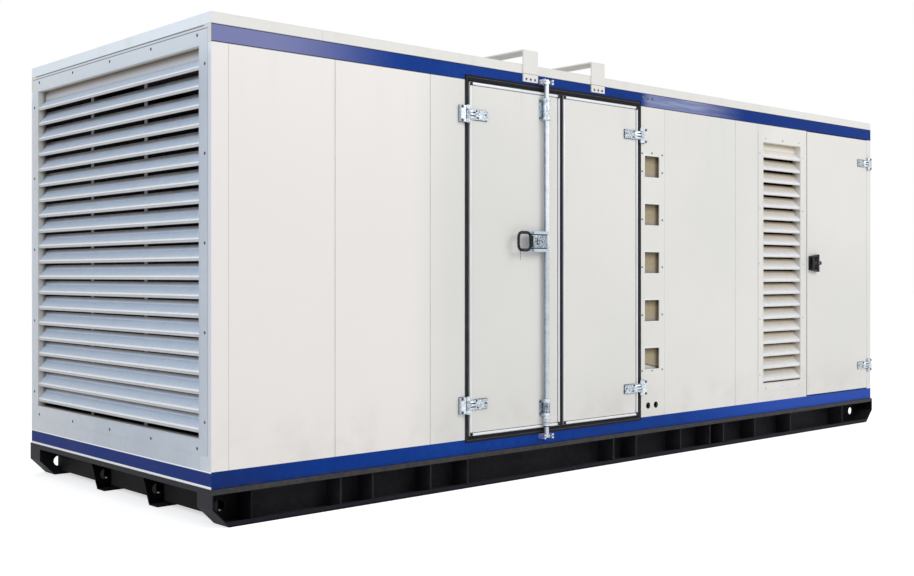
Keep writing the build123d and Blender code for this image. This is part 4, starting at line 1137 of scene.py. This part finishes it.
def floor_material():
    f, seen = studio_white("floor_white")
    x, y, _ = f.split(f.place())
    under = f.fall(abs(x), 2.74, 2.80) * f.fall(abs(y), 1.0, 1.06)
    matt = f.node("ShaderNodeBsdfDiffuse", {}, {"Color": (0.9, 0.9, 0.9, 1.0)})
    shaded = f.node("ShaderNodeBsdfDiffuse", {}, {"Color": (0.03, 0.03, 0.032, 1.0)})
    glow = f.node("ShaderNodeEmission", {}, {"Color": (1.0, 1.0, 1.0, 1.0), "Strength": 0.6})
    lifted = f.node("ShaderNodeAddShader", {}, {0: matt, 1: glow})
    open_floor = f.node("ShaderNodeMixShader", {}, {0: seen, 1: matt, 2: lifted})
    both = f.node("ShaderNodeMixShader", {}, {0: under, 1: open_floor, 2: shaded})
    f.node("ShaderNodeOutputMaterial", {}, {"Surface": both})
    return f.holder


def make_floor():
    reach = 60.0
    corners = [(-reach, -reach, 0.0), (reach, -reach, 0.0), (reach, reach, 0.0), (-reach, reach, 0.0)]
    mesh = bpy.data.meshes.new("floor")
    mesh.from_pydata(corners, [], [(0, 1, 2, 3)])
    mesh.materials.append(floor_material())
    floor = placed("floor", mesh)


def make_world():
    world = bpy.data.worlds.new("studio")
    bpy.context.scene.world = world
    f, seen = studio_white("studio", world)
    strength = WORLD_LIGHT + seen * (1.0 - WORLD_LIGHT)
    glow = f.node("ShaderNodeBackground", {}, {"Color": (1.0, 1.0, 1.0, 1.0), "Strength": strength})
    f.node("ShaderNodeOutputWorld", {}, {"Surface": glow})


def add_lamp(name, place, target, size, energy, colour=(1.0, 1.0, 1.0)):
    lamp = bpy.data.lights.new(name, "AREA")
    lamp.shape = "RECTANGLE"
    lamp.size, lamp.size_y = size
    lamp.energy = energy
    lamp.color = colour
    holder = placed(name, lamp)
    holder.location = place
    holder.rotation_euler = (Vector(target) - Vector(place)).to_track_quat("-Z", "Y").to_euler()


def make_camera():
    lens = bpy.data.cameras.new("camera")
    lens.sensor_width = 36.0
    lens.lens = CAMERA_LENS
    lens.shift_x, lens.shift_y = CAMERA_SHIFT
    lens.clip_end = 200.0
    camera = placed("camera", lens)
    camera.location = CAMERA_PLACE
    camera.rotation_euler = (math.radians(90.0), 0.0, -math.radians(CAMERA_YAW))
    bpy.context.scene.camera = camera


# Floor, world, lamps and camera
make_floor()
make_world()
add_lamp("key", (3.5, -9.0, 6.5), (0.5, 0.0, 1.2), (7.0, 5.0), 400.0)
add_lamp("fill", (-9.0, -2.5, 5.0), (-3.0, 0.0, 1.2), (5.0, 4.0), 190.0, (0.86, 0.93, 1.0))
make_camera()
bpy.context.scene.view_settings.view_transform = "Standard"
